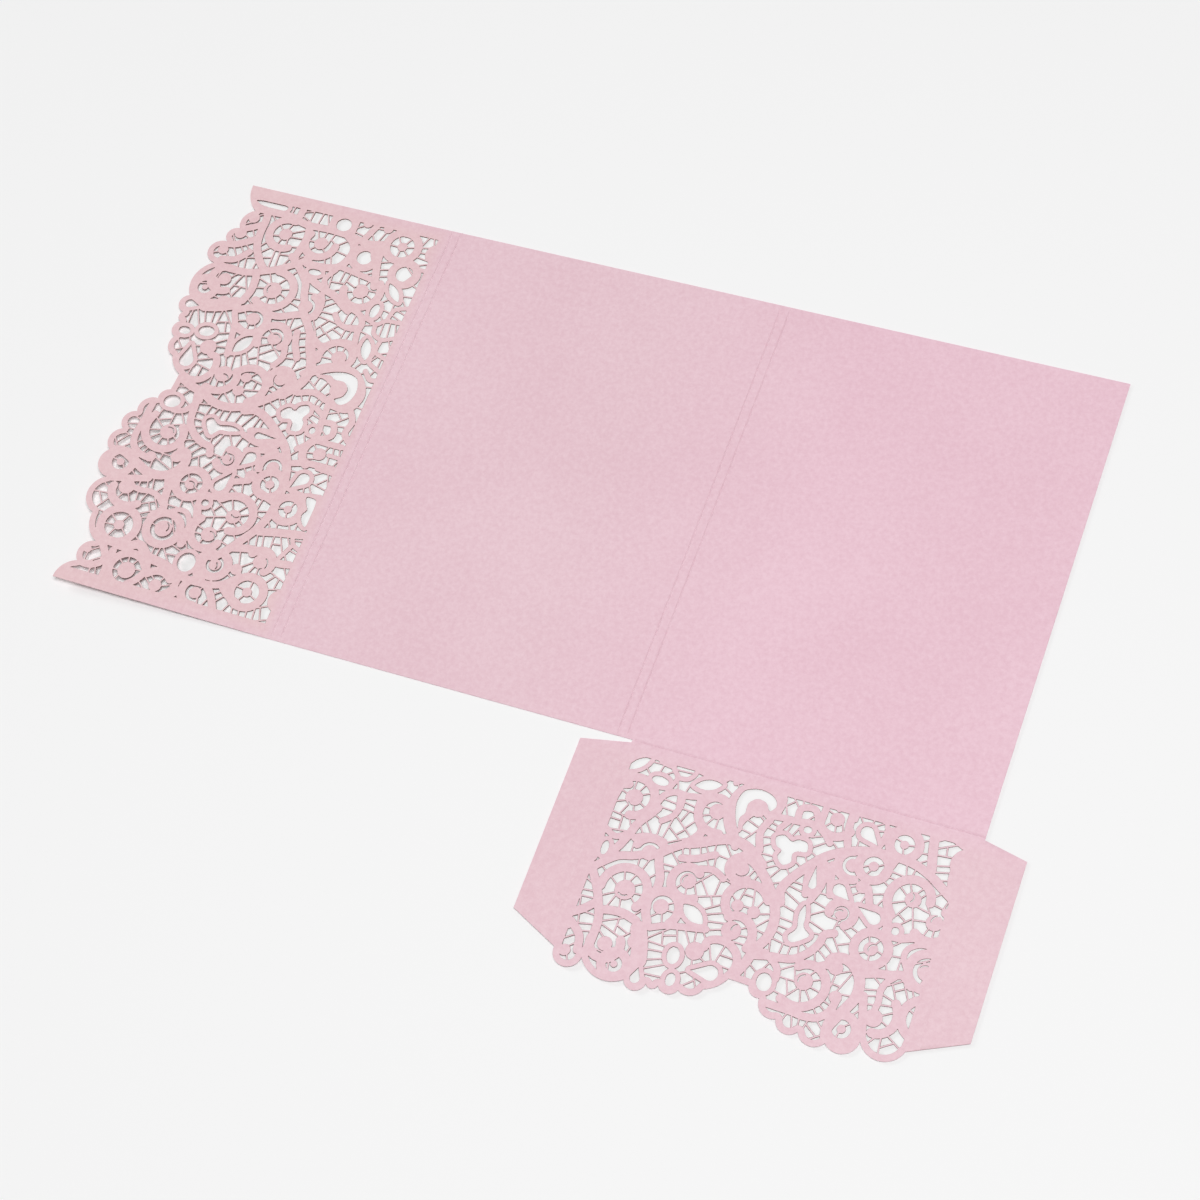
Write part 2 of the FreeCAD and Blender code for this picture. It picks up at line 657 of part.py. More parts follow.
def pocket(net, framed):
    """The lace pocket with its glue tabs, its fold on y = 0 and its free edge to -Y."""
    scale = pocket_panel_width / pocket_span

    def place(p):
        return ((p[1] - pocket_start) * scale, (pocket_rise - p[0]) * scale)
    low = pocket_rise + pocket_margin
    first = pocket_start + pocket_margin
    last = pocket_start + pocket_span - pocket_margin
    window = patch([(low, first), (widest, first), (widest, last), (low, last)])
    shown = clipped(net + [patch(outline) for outline in framed], window)
    outlines = [[place(p) for p in outline] for outline in cells_of(shown)]
    lobes = LOBES[int(first_pocket_lobe):int(last_pocket_lobe) + 1]
    start = place(lobes[0][0])
    end = place(lobes[-1][2])
    right = pocket_panel_width
    edges = lobed(lobes, place)
    edges += joined([end, (right + tab_width, end[1] + tab_chamfer),
                     (right + tab_width, -tab_top - tab_slope), (right, -tab_top), (right, 0),
                     (notch_tip, 0), (notch_tip, -tab_top), (-tab_width, -tab_top - tab_slope),
                     (-tab_width, start[1] + tab_chamfer), start], tuple)
    creases = [score((0, -tab_top), (0, start[1])), score((right, -tab_top), (right, end[1]))]
    return [plate(edges, outlines)] + creases


def turned(shapes, axis, angle):
    for shape in shapes:
        shape.rotate(Vec(0, 0, 0), axis, angle)


def moved(shapes, x, y):
    for shape in shapes:
        shape.translate(Vec(x, y, 0))


def card():
    net, framed = lace()
    half = panel_height / 2
    inner = centre_width / 2
    outer = inner + spine_width
    flap_side = [flap(net, framed)]
    turned(flap_side, Vec(0, 1, 0), flap_lift)
    moved(flap_side, -outer, 0)
    hanging = pocket(net, framed)
    turned(hanging, Vec(1, 0, 0), -pocket_lift)
    pocket_panel = Part.makeBox(pocket_panel_width, panel_height, card_thickness)
    pocket_side = [pocket_panel, score((notch_tip, 0), (pocket_panel_width, 0))] + hanging
    moved(pocket_side, 0, -half)
    turned(pocket_side, Vec(0, 1, 0), -pocket_panel_lift)
    moved(pocket_side, outer, 0)
    panel, pocket_fold, pocket_sheet, *creases = pocket_side
    centre = Part.makeBox(2 * outer, panel_height, card_thickness, Vec(-outer, -half, 0))
    sheet = centre.fuse(flap_side + [panel, pocket_sheet])
    folds = [score((x, -half), (x, half)) for x in (-outer, -inner, inner, outer)]
    return sheet.cut(folds + creases + [pocket_fold])


os.makedirs("parts", exist_ok=True)
sheet = card()
sheet.Solids[0].exportStep("parts/pocket_card.step")
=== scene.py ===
import math

import bpy
import numpy as np
from mathutils import Matrix, Vector
from mathutils.geometry import delaunay_2d_cdt


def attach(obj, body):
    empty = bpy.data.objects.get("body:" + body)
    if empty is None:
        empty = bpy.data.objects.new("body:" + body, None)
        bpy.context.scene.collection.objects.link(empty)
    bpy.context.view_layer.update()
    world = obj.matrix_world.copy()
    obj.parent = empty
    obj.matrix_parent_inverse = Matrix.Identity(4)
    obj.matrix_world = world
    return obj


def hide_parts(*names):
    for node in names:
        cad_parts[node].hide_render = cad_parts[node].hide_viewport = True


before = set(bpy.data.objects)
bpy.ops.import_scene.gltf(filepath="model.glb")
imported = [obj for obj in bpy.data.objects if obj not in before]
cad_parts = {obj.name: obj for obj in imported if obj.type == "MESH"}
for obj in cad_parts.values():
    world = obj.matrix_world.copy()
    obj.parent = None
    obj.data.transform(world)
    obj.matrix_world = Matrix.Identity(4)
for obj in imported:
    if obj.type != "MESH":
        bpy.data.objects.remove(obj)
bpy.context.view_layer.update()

# ---------------------------------------------------------------------------
# The lace: card tapes that curl round solid eyes, stems that tie them together
# and thin bars across every opening. A laser cuts this drawing out of the flap
# and, a little smaller, out of the pocket.
# ---------------------------------------------------------------------------

# In millimetres: u from the flap's fold to its free edge, v from the top edge
# down. An angle of 0 points at the fold.
DRAWING_HEIGHT = 178.0
TAPE = 3.2              # width of a scroll's tape
RIM = 2.3               # card on each side of the lobed line
FRAME = 1.6             # card round a framed opening
MARGIN = 6.0            # card along the fold and the two straight edges
BAR = 0.56              # width of a thin bar
LEAN = 0.5              # how far a bar may lean from square
PITCH = 1.95            # distance between neighbouring bars
SLIT = 0.45             # width of the slit that curls an eye

# Free edge from the top down: a lobe's start, crown and end
LOBES = [
    ((84, 0), (82.4, 6.2), (78.3, 10.8)),
    ((78.3, 10.8), (81.9, 15.6), (81, 19.8)),
    ((81, 19.8), (84.8, 22.9), (83.3, 26.7)),
    ((83.3, 26.7), (89, 31.2), (84.2, 36.9)),
    ((84.2, 36.9), (89.6, 46.4), (87.4, 53.2)),
    ((87.4, 53.2), (90, 56.8), (86.5, 60.8)),
    ((86.5, 60.8), (87.6, 62.8), (85.9, 64.9)),
    ((85.9, 64.9), (87.8, 68.3), (85.4, 71.8)),
    ((85.4, 71.8), (86.1, 75.9), (82.5, 79.8)),
    ((82.5, 79.8), (80.4, 83.6), (76.6, 86.6)),
    ((76.6, 86.6), (76.7, 90.2), (76.9, 93.8)),
    ((76.9, 93.8), (79.4, 95.4), (80, 98.6)),
    ((80, 98.6), (84.8, 101), (85.2, 106)),
    ((85.2, 106), (89, 109.6), (87.2, 114.3)),
    ((87.2, 114.3), (90.6, 118.8), (88.2, 123.9)),
    ((88.2, 123.9), (90, 130.2), (84.2, 134.7)),
    ((84.2, 134.7), (88.6, 141.6), (83.1, 149.7)),
    ((83.1, 149.7), (81.8, 155.6), (76.8, 160.4)),
    ((76.8, 160.4), (81.5, 164.8), (80.1, 169.6)),
    ((80.1, 169.6), (84.3, 172.6), (86, 178)),
]

# Scrolls: u, v, eye radius, tape radius at start and end, start angle, sweep
SCROLLS = [
    (16.2, 11.6, 1.9, 6.2, 6.4, 98, -360),
    (10.9, 22.9, 1.8, 4.9, 4.9, 115, -360),
    (28.5, 19.9, 1.6, 4.6, 4.6, 150, 360),
    (62.4, 17.8, 2.6, 6.6, 6.4, 75, 225),
    (47.4, 18.2, 2.7, 6.3, 6, 150, 210),
    (77.3, 42.8, 2.6, 5.2, 5.4, 70, 230),
    (83.2, 48.2, 1.2, 4.4, 4.4, 20, 360),
    (57.2, 42.8, 3.6, 8.6, 7.4, 95, -225),
    (59.3, 56.6, 2.7, 4.9, 6.6, 110, -245),
    (47.8, 62.4, 2.8, 4.6, 6.8, -40, 255),
    (42, 46.3, 2.8, 5.4, 5.4, 70, -130),
    (24.2, 34.3, 3.1, 6.6, 7.8, 185, 215),
    (20.9, 63.8, 2.9, 4.4, 8.2, -30, 230),
    (60.4, 82, 3.4, 8.2, 5, 238, 150),
    (50, 83.6, 0, 6.6, 7.8, 150, -215),
    (38.3, 78.4, 2.6, 4.2, 4.5, 15, 205),
    (70.1, 110.8, 3.1, 9.6, 5.6, 145, 250),
    (52.8, 128.5, 2.4, 5.7, 5.9, 40, 360),
    (43.8, 115.4, 2.2, 4.1, 4.4, 100, -250),
    (26.3, 113.9, 2.4, 5.2, 5, 200, -190),
    (24.6, 120.7, 1.7, 5.1, 5.1, 2, 360),
    (32.2, 136.8, 2.8, 9, 5.8, 140, -225),
    (75.3, 136.4, 3.1, 5, 8.8, 190, 130),
    (55, 148.6, 3.3, 6.3, 6.5, 0, 360),
    (71.4, 151.9, 2, 6.9, 6.9, 10, 360),
    (61, 168, 3.3, 6.9, 6.6, 30, 225),
    (38, 145.9, 2.9, 5.2, 7.4, -30, -195),
    (15.2, 163.4, 1.8, 6, 6.2, 98, -360),
    (11.9, 103.9, 2.5, 6.2, 6.4, 100, 140),
    (14.2, 128.3, 1.5, 5, 5.2, 60, 360),
    (82, 127.6, 1.5, 4.8, 4.8, 115, -360),
    (33.2, 169, 2.3, 5.4, 5, 90, 190),
    (48.4, 170.6, 2.4, 5.8, 5.8, 40, 100),
    (30.8, 156.6, 2.3, 4.9, 4.9, 60, -300),
    (15.4, 150.8, 2.7, 4.6, 4.4, 150, -200),
]

# Stems: width, then the points they run through
STEMS = [
    (3.1, (84, 37), (77.6, 37.9), (69.8, 37.7), (64, 35.6), (58.5, 33), (52, 28.5), (49, 25.5)),
    (5.7, (79.5, 55.6), (74, 54.2), (69, 52)),
    (3.1, (66.2, 37.4), (65.4, 41), (65.3, 45.5), (66.6, 50.2)),
    (3, (56, 26.5), (50.5, 31.2), (46.2, 36.2), (44.7, 41), (43, 44.8)),
    (3.1, (41, 49.5), (45, 50.8), (49.5, 52.8), (54, 53), (58, 51.2), (62.5, 52.2), (66, 54)),
    (2.5, (67.4, 55.5), (65.2, 60.3), (64.2, 64.8), (63.4, 69.5), (62.5, 73.8)),
    (3.1, (47.5, 31.5), (43.5, 34.8), (38, 37.2), (33, 38.8), (28.8, 41.6), (25.5, 43.6)),
    (2.5, (24, 42.6), (20.3, 44.2), (18.2, 47.4), (18.4, 51.6), (17.6, 56)),
    (2.3, (29.6, 46.4), (26.7, 49.6), (22.8, 50.8), (18.6, 50.4)),
    (3.1, (41, 50), (38.3, 53), (35.2, 57), (31, 60.4), (28.3, 60.8)),
    (2.7, (36.9, 49.6), (36.4, 46), (36.8, 42.5), (38.2, 39.6)),
    (2.7, (40.6, 57.5), (39.3, 62.5), (37.2, 66.2), (36.2, 68.2)),
    (3.9, (34.8, 58), (33, 62.5), (31.2, 66), (29.4, 71), (29.8, 76), (32, 80.6), (35.2, 84.4)),
    (2.9, (76, 86.2), (72, 87.6), (68, 86.6), (65.3, 83.4), (64.6, 79.4), (66, 76), (68.5, 75.4)),
    (3.5, (75.5, 87.6), (69.5, 90.3), (64.5, 91.6), (59.5, 94.2), (54, 94.9), (48.5, 93.6), (43.5,
     90.6), (38.5, 86.3), (34.8, 81.5), (33.8, 77.5)),
    (2.9, (66.2, 92.8), (65, 97.5), (64.6, 101.5), (63.4, 105.5), (60, 109.3), (56, 111.6), (52.6,
     112.3), (51.2, 115.2)),
    (2.5, (17.2, 80.5), (16.6, 86.8), (16.4, 91.5), (15.8, 96.5), (17.5, 100.8), (20.8, 104)),
    (3.3, (46, 94.6), (41.5, 93.4), (36.5, 95.6), (32, 98.8), (28, 102), (24.5, 106), (21.6, 111.5),
     (19.8, 118), (19.2, 126), (19.8, 133), (22.2, 139.5), (26, 145.5), (29, 150), (32.5, 153.5),
     (36, 154.2)),
    (2.7, (80.8, 99.5), (81, 104.5), (81.2, 110), (81.6, 114.5), (80.6, 119), (77.4, 122), (73.5,
     123)),
    (3.7, (87, 123.6), (83, 123), (79, 124.6), (74.5, 127), (70, 128.8), (64.5, 128.4), (60.4,
     125.4), (58.6, 121.5), (59.6, 117.6), (62, 117)),
    (2.3, (72.5, 136), (69.5, 136.3), (66, 135.9), (62.5, 136.8), (60, 139)),
    (3.1, (61.5, 129.5), (60.2, 133.5), (59.6, 137.5), (58.6, 141.5), (61.4, 145)),
    (2.1, (56, 141.8), (52.6, 139.8), (49.3, 140.2), (46.8, 143.5), (46.2, 148)),
    (3.1, (46.2, 131.5), (46.4, 136.5), (44.9, 141.5), (46, 147), (46.2, 152.5)),
    (3.7, (77.6, 160.9), (72, 158.9), (66, 159.4), (60.5, 157.2), (56, 160.6), (50, 161.7), (45.5,
     163)),
    (3.1, (73.6, 8), (72.4, 14), (72.3, 20), (71, 26), (67.6, 31.5), (64, 35)),
    (3.1, (80.6, 9.6), (72, 9.6), (63.4, 9.6), (56, 11.6), (47, 11.4), (38, 12), (30, 13.6), (24,
     12.5)),
    (3.1, (23.4, 13), (23.2, 19), (21.4, 26), (20, 31)),
    (3.1, (54.6, 12), (53.6, 18), (54.8, 26)),
    (3.3, (38.6, 12), (34.6, 15.5), (33.8, 20), (36.4, 26), (42, 28), (49, 28)),
    (2.5, (36.4, 26), (28, 27.4), (21, 28.6)),
    (2.9, (83, 20.6), (78.4, 19.2), (73, 16)),
    (3.1, (85, 27.4), (79.6, 27), (73, 23)),
    (2.9, (82.2, 34.6), (77, 33.4), (73, 29)),
    (2.7, (37.6, 4.5), (37.6, 12)),
    (2.7, (46.4, 4.5), (46.6, 11)),
    (2.7, (28.8, 4), (31.8, 12)),
    (2.9, (60, 4), (60.4, 9.8)),
    (2.3, (37.2, 28), (39.6, 33), (36.4, 38)),
    (2.5, (43.6, 73.6), (41.6, 69.4), (42.4, 65)),
    (2.9, (28.6, 60.8), (23.4, 57.4), (17.6, 57)),
    (2.7, (31.4, 73.6), (22, 67.6), (12, 68.4), (6.4, 76), (9, 83.6), (16, 83.6)),
    (2.9, (31, 77.6), (27.6, 72), (22, 72.6), (18, 75)),
    (2.7, (30, 82), (24, 80.2), (18.6, 82)),
    (2.3, (20.8, 86), (17, 88.4)),
    (2.5, (16.4, 91), (11.6, 91), (10.6, 95.6), (14.6, 98.6), (5, 99)),
    (2.5, (64.2, 95.2), (68, 100.6), (72, 101.6)),
    (2.7, (38.6, 109.8), (33.4, 108.4), (28, 107.4)),
    (2.7, (40.6, 101.8), (34, 100.6), (29, 101.2)),
    (2.5, (42.4, 104), (36, 106), (28.6, 105)),
    (2.7, (63.6, 114), (60.6, 119.2)),
    (2.7, (38.6, 123.4), (40.2, 130.4), (46.2, 131.2)),
    (2.7, (32.8, 121.4), (38.6, 123.6)),
    (2.9, (28.4, 124.2), (19.8, 127.2)),
    (2.5, (19.8, 119), (12.4, 121.6), (5, 120.6)),
    (3.3, (5, 136.6), (13.4, 138), (20.4, 139.6)),
    (2.7, (19.8, 110), (14.6, 108.6), (5, 108.4)),
    (2.9, (83.6, 134.9), (76, 133), (69, 131)),
    (2.9, (48.6, 162.4), (42, 164.4), (34, 165), (26, 163.6), (20, 158.6)),
    (2.9, (58.6, 173), (56, 170.4), (54.2, 166.6), (54.6, 163.6)),
    (2.7, (44.4, 173), (41.8, 170), (41.4, 165)),
    (2.7, (37.6, 165.2), (38.4, 168.8), (40.6, 171.6)),
    (2.9, (30.8, 164.8), (27.4, 168.2), (24.6, 173)),
    (2.7, (25, 163.6), (21.8, 166.4), (17, 168.4)),
    (2.9, (74, 160.4), (70.6, 166), (74.2, 169.6), (80, 169.6)),
    (2.9, (69, 162), (68.6, 173)),
    (3.1, (27, 148.4), (19, 147), (10, 149.4), (5, 149)),
    (2.9, (36.6, 154.6), (36.6, 160), (34, 164.4)),
    (1.8, (18.4, 44.6), (13, 46.4), (9.6, 44), (4, 43.6)),
    (1.8, (9.6, 44), (8.4, 38.8), (4, 36.8)),
    (1.8, (13, 46.4), (12.2, 50.4), (8.4, 52.2), (4, 50.4)),
    (1.8, (8.4, 52.2), (8.6, 57.6), (4, 59.6)),
    (1.8, (8.6, 57.6), (9.2, 62.4), (4, 65.4)),
    (2, (9, 66.4), (6.2, 69.4), (4, 69.4)),
    (2.5, (7.6, 84), (5.4, 88), (6.2, 93), (4, 95.8)),
    (1.7, (4, 103.6), (8.4, 103.4)),
    (1.7, (10.4, 109.8), (4, 110.2)),
    (1.7, (8.4, 137.2), (6.6, 141), (4, 142.4)),
    (1.7, (6.6, 141), (9.4, 147.4)),
    (1.8, (9.8, 17.2), (7.4, 19.4), (4, 19.6)),
]

# Beads: u, v, radius
BEADS = [
    (2.2, 11.6, 4.4),
    (2.2, 163.4, 4.6),
    (14.4, 98.4, 1.8),
    (79.1, 67.1, 0.8),
    (20.9, 157.5, 1),
    (77.4, 14, 2.2),
    (79.8, 21.7, 2.4),
    (83.4, 30.4, 2.1),
    (70.8, 72.7, 3.2),
    (51.3, 81.2, 2.1),
    (52, 87.2, 2.2),
    (32.6, 119.4, 2.4),
    (22.6, 156.1, 2.2),
    (78.3, 164.2, 1.5),
    (62.5, 119.5, 2.5),
    (33, 5, 1.9),
    (24.4, 5.4, 1.9),
    (15.8, 76.8, 3.2),
    (72.2, 122.4, 2.2),
    (73.6, 52.4, 2.6),
    (69.4, 52.4, 2.7),
]

# Eyelets: u, v, half length, half width, tilt
EYELETS = [
    (74.4, 66.3, 3.2, 2.3, 8),
    (82.7, 68.2, 2.4, 1.8, 0),
    (44.6, 30.9, 2.7, 1.4, 0),
    (15.7, 41, 3.2, 1.7, 85),
    (74.2, 98.3, 3.3, 2.7, 12),
    (44.5, 134.4, 1.5, 1.4, 0),
    (41.2, 158.7, 3.9, 3.4, 90),
    (42, 8, 3.1, 2.9, 0),
    (18.4, 95.4, 1.5, 1.3, 90),
]

# Drops: u, v, round end's radius, distance to the tip, tilt
DROPS = [
    (85.8, 56.6, 1.8, 4, 0),
    (76.6, 80.2, 2.8, 6.9, 98),
    (36, 112.2, 2.3, 5.2, -122),
    (42.3, 126.3, 2.3, 6.9, 68),
    (13.6, 115, 2.4, 6, -126),
    (36.9, 103, 1.5, 7.2, 6),
]

# Leaves between two arcs: u, v, length, width, tilt
LEAVES = [
    (11.6, 31.6, 9.6, 3.4, -48),
    (58.6, 67.9, 10, 5, 60),
    (12.4, 57.6, 9.8, 4, -73),
]

# Trefoil, crescent, bird, scallop and slot, smooth closed curves
FIGURES = [
    ((33, 91), (31.2, 93.6), (28.4, 93.2), (27, 94.4), (26.2, 97.6), (23, 96.8), (22.6, 93.6),
     (23.8, 91.4), (22.4, 88.4), (24, 85.8), (27, 87), (28, 89), (30.6, 88.4)),
    ((24.9, 72.2), (20, 69.8), (15, 68.9), (10.6, 70.4), (8.8, 75.4), (10, 80.4), (13, 82.6),
     (15.7, 80.8), (13.2, 78.8), (12.6, 75.4), (15, 73), (18.6, 73), (21, 71.8)),
    ((58.4, 102.4), (56.4, 100.6), (53, 102.6), (48, 101.8), (44.4, 103), (48, 104.4),
     (51.8, 104.9), (54.2, 107.6), (56.6, 105.6)),
    ((9.4, 121.6), (5.6, 122), (5, 127), (5.2, 133), (7.6, 131.4), (8.4, 128.8), (7.4, 126.4), (8.6, 124.4)),
    ((79.6, 5.9), (76, 5.4), (71, 5.4), (67, 5.6), (66.2, 6.7), (67.4, 7.9), (72, 8), (76.4, 7.7), (78.6, 6.9)),
]

# Slits that curl an eye into its tape: u, v, radius, start angle, sweep
CURLS = [
    (57, 42.5, 2.3, 140, 80),
    (47.9, 62.6, 2.1, 30, 85),
    (25.6, 34.6, 1.7, 120, 80),
    (59.8, 84, 2, 20, 80),
    (70, 111, 2.1, 10, 100),
    (53, 129.6, 1.9, 0, 110),
    (44.4, 115, 1.7, -20, 100),
    (55.4, 148, 2.3, -30, 90),
    (37.6, 147, 2.3, 10, 85),
    (31.6, 135, 1.9, 220, 100),
    (15, 151.4, 2.6, -30, 90),
    (31.6, 157.2, 1.9, -30, 80),
]

# A fine grid over the whole drawing. The gap is the distance from each of its
# points to the nearest card: negative inside the card, and no more than FAR.
GRID = 0.15
U0, V0 = -2.0, -2.0
GRID_DEPTH, GRID_HEIGHT = 96, 182
FAR = 3.0
grid_u = U0 + GRID * np.arange(int(GRID_DEPTH / GRID))
grid_v = V0 + GRID * np.arange(int(GRID_HEIGHT / GRID))
gap = np.full((len(grid_u), len(grid_v)), FAR)


def polar(u, v, radius, angle):
    """Points a radius from (u, v): angle 0 toward the fold, 90 toward the top."""
    turn = np.radians(angle)
    return np.stack([u - radius * np.cos(turn), v - radius * np.sin(turn)], -1)


def smooth(points, closed=False, steps=8):
    """Catmull-Rom curve: each span blends its four nearest points with cubic weights."""
    p = np.array(points, float)
    ends = np.vstack([p[-1:], p, p[:2]]) if closed else np.vstack([p[:1], p, p[-1:]])
    t = (np.arange(steps) / steps)[None, :, None]
    a, b, c, d = (ends[i:len(ends) - 3 + i][:, None, :] for i in range(4))
    curve = ((-t ** 3 + 2 * t ** 2 - t) * a + (3 * t ** 3 - 5 * t ** 2 + 2) * b
             + (-3 * t ** 3 + 4 * t ** 2 + t) * c + (t ** 3 - t ** 2) * d) / 2
    curve = curve.reshape(-1, 2)
    return curve if closed else np.vstack([curve, p[-1:]])


def window_round(points, reach):
    """The grid's slices that hold the points and everything within reach of them."""
    lo = np.floor((points.min(0) - reach - (U0, V0)) / GRID).astype(int)
    hi = np.ceil((points.max(0) + reach - (U0, V0)) / GRID).astype(int) + 1
    lo = np.clip(lo, 0, gap.shape)
    hi = np.clip(hi, 0, gap.shape)
    return slice(lo[0], hi[0]), slice(lo[1], hi[1])


def off_segment(p, q, rows, columns):
    """Distance of grid points to the segment p + t (q - p), with t held between 0 and 1."""
    du = grid_u[rows][:, None] - p[0]
    dv = grid_v[columns][None, :] - p[1]
    along = q - p
    span = max(along @ along, 1e-9)
    t = np.clip((du * along[0] + dv * along[1]) / span, 0, 1)
    return np.hypot(du - t * along[0], dv - t * along[1])


def lay(line, width):
    """Lays card of a width along a line: the gap becomes the least of itself and
    the distance to the line less half the width."""
    for p, q in zip(line, line[1:]):
        rows, columns = window_round(np.stack([p, q]), width / 2 + FAR)
        part = gap[rows, columns]
        np.minimum(part, off_segment(p, q, rows, columns) - width / 2, out=part)


def arc_through(start, crown, end, count=16):
    """Circular arc through three points: its middle is as far from each of them, and the
    angle runs evenly from the first to the last. Nearly in line, they are kept as they are."""
    (ax, ay), (bx, by), (cx, cy) = start, crown, end
    twice = 2 * (ax * (by - cy) + bx * (cy - ay) + cx * (ay - by))
    if abs(twice) < 0.5:
        return np.array([start, crown, end], float)
    a2, b2, c2 = ax * ax + ay * ay, bx * bx + by * by, cx * cx + cy * cy
    mx = (a2 * (by - cy) + b2 * (cy - ay) + c2 * (ay - by)) / twice
    my = (a2 * (cx - bx) + b2 * (ax - cx) + c2 * (bx - ax)) / twice
    turns = np.unwrap([math.atan2(y - my, x - mx) for x, y in (start, crown, end)])
    sweep = np.linspace(turns[0], turns[2], count + 1)
    radius = math.hypot(ax - mx, ay - my)
    return np.stack([mx + radius * np.cos(sweep), my + radius * np.sin(sweep)], -1)


def spin(u, v, along, across, tilt):
    """Points given along and across an axis that is tilted by an angle at (u, v)."""
    c, s = math.cos(math.radians(tilt)), math.sin(math.radians(tilt))
    return np.stack([u - along * c + across * s, v - along * s - across * c], -1)


def eyelet(u, v, length, width, tilt):
    """Ellipse: half length times cosine along, half width times sine across."""
    t = np.linspace(0, 2 * math.pi, 36, endpoint=False)
    return spin(u, v, length * np.cos(t), width * np.sin(t), tilt)


def drop(u, v, radius, reach, tilt):
    """Circle with the two tangents that meet at a tip: they touch it where the cosine of
    the angle off the axis is the radius over the distance to the tip."""
    flank = math.degrees(math.acos(radius / reach))
    around = polar(u, v, radius, tilt + flank + (360 - 2 * flank) * np.linspace(0, 1, 28))
    return np.vstack([around, polar(u, v, reach, np.array([tilt]))])


def leaf(u, v, length, width, tilt):
    """Two arcs of one radius over a common chord: (length squared + width squared) / 4 width."""
    radius = (length ** 2 + width ** 2) / (4 * width)
    half = math.asin(length / 2 / radius)
    t = np.linspace(-half, half, 14, endpoint=False)
    along, across = radius * np.sin(t), radius * np.cos(t) - radius + width / 2
    return np.vstack([spin(u, v, along, across, tilt), spin(u, v, -along, -across, tilt)])


def inside(points, rows, columns):
    """Grid points inside a closed outline: a ray from each crosses an odd number of sides."""
    u, v = grid_u[rows][:, None], grid_v[columns][None, :]
    odd = np.zeros((u.shape[0], v.shape[1]), bool)
    for (pu, pv), (qu, qv) in zip(points, np.roll(points, -1, 0)):
        if pv != qv:
            odd ^= ((pv > v) != (qv > v)) & (u < (qu - pu) * (v - pv) / (qv - pv) + pu)
    return odd


# Card that is laid: margins, lobes, scrolls with their eyes, stems, beads and
# frames. Each line is kept with its width, because bars spring from its edges.
MARGIN_LINES = ([(1, -2), (1, 181)], [(-2, 2.2), (93, 2.2)], [(-2, 175.8), (93, 175.8)])
tapes = []
for line in MARGIN_LINES:
    margin = np.array(line, float)
    lay(margin, MARGIN)
    tapes.append((margin, MARGIN))
for lobe in LOBES:
    arc = arc_through(*lobe)
    lay(arc, 2 * RIM)
    tapes.append((arc, 2 * RIM))
for u, v, eye, start_radius, end_radius, start, sweep in SCROLLS:
    share = np.linspace(0, 1, max(6, int(abs(sweep) / 8)))
    tape = polar(u, v, start_radius + (end_radius - start_radius) * share, start + sweep * share)
    lay(tape, TAPE)
    tapes.append((tape, TAPE))
    if eye:
        lay(polar(u, v, 0.01, np.array([0, 90])), 2 * eye)
        tapes.append((polar(u, v, eye, np.linspace(0, 360, 25)), 0.0))
for width, *points in STEMS:
    stem = smooth(points)
    lay(stem, width)
    tapes.append((stem, width))
for u, v, radius in BEADS:
    lay(polar(u, v, 0.01, np.array([0, 90])), 2 * radius)
    tapes.append((polar(u, v, radius, np.linspace(0, 360, 20)), 0.0))
framed = [eyelet(*row) for row in EYELETS] + [drop(*row) for row in DROPS]
framed += [leaf(*row) for row in LEAVES] + [smooth(row, True) for row in FIGURES]
for outline in framed:
    ring = np.vstack([outline, outline[:1]])
    lay(ring, 2 * FRAME)
    rows, columns = window_round(outline, 0)
    gap[rows, columns][inside(outline, rows, columns)] = -FRAME
    tapes.append((ring, 2 * FRAME))

# Beyond the lobed edge counts as card, so that nothing is opened there
lobe_line = np.vstack([arc_through(*lobe)[:-1] for lobe in LOBES] + [np.array(LOBES[-1][2:], float)])
sheet_side = np.vstack([[(U0, 0)], lobe_line, [(U0, DRAWING_HEIGHT)]])
gap[~inside(sheet_side, slice(None), slice(None))] = -FRAME


def at(points):
    """Gap at any points, by bilinear blending of the four grid values round each."""
    f = (points - (U0, V0)) / GRID
    i = np.clip(f.astype(int), 0, np.array(gap.shape) - 2)
    a, b = np.clip(f - i, 0, 1).T
    i, j = i.T
    return ((1 - a) * (1 - b) * gap[i, j] + a * (1 - b) * gap[i + 1, j]
            + (1 - a) * b * gap[i, j + 1] + a * b * gap[i + 1, j + 1])


def resampled(line, spacing):
    """Points evenly spaced along a line, and the line's direction at each, from a
    little behind the point to a little ahead of it."""
    steps = np.hypot(*np.diff(line, axis=0).T)
    run = np.concatenate([[0], np.cumsum(steps)])
    s = np.arange(spacing / 2, run[-1], spacing)
    points = np.stack([np.interp(s, run, line[:, k]) for k in (0, 1)], -1)
    ahead = np.stack([np.interp(s + 0.2, run, line[:, k]) for k in (0, 1)], -1)
    behind = np.stack([np.interp(s - 0.2, run, line[:, k]) for k in (0, 1)], -1)
    way = ahead - behind
    return points, way / np.maximum(np.hypot(*way.T)[:, None], 1e-6)


ROOT = 0.3              # how far a bar's end runs into the card
LEAN_WAVE = (2.3, 1.7)  # how fast the lean changes along u and v


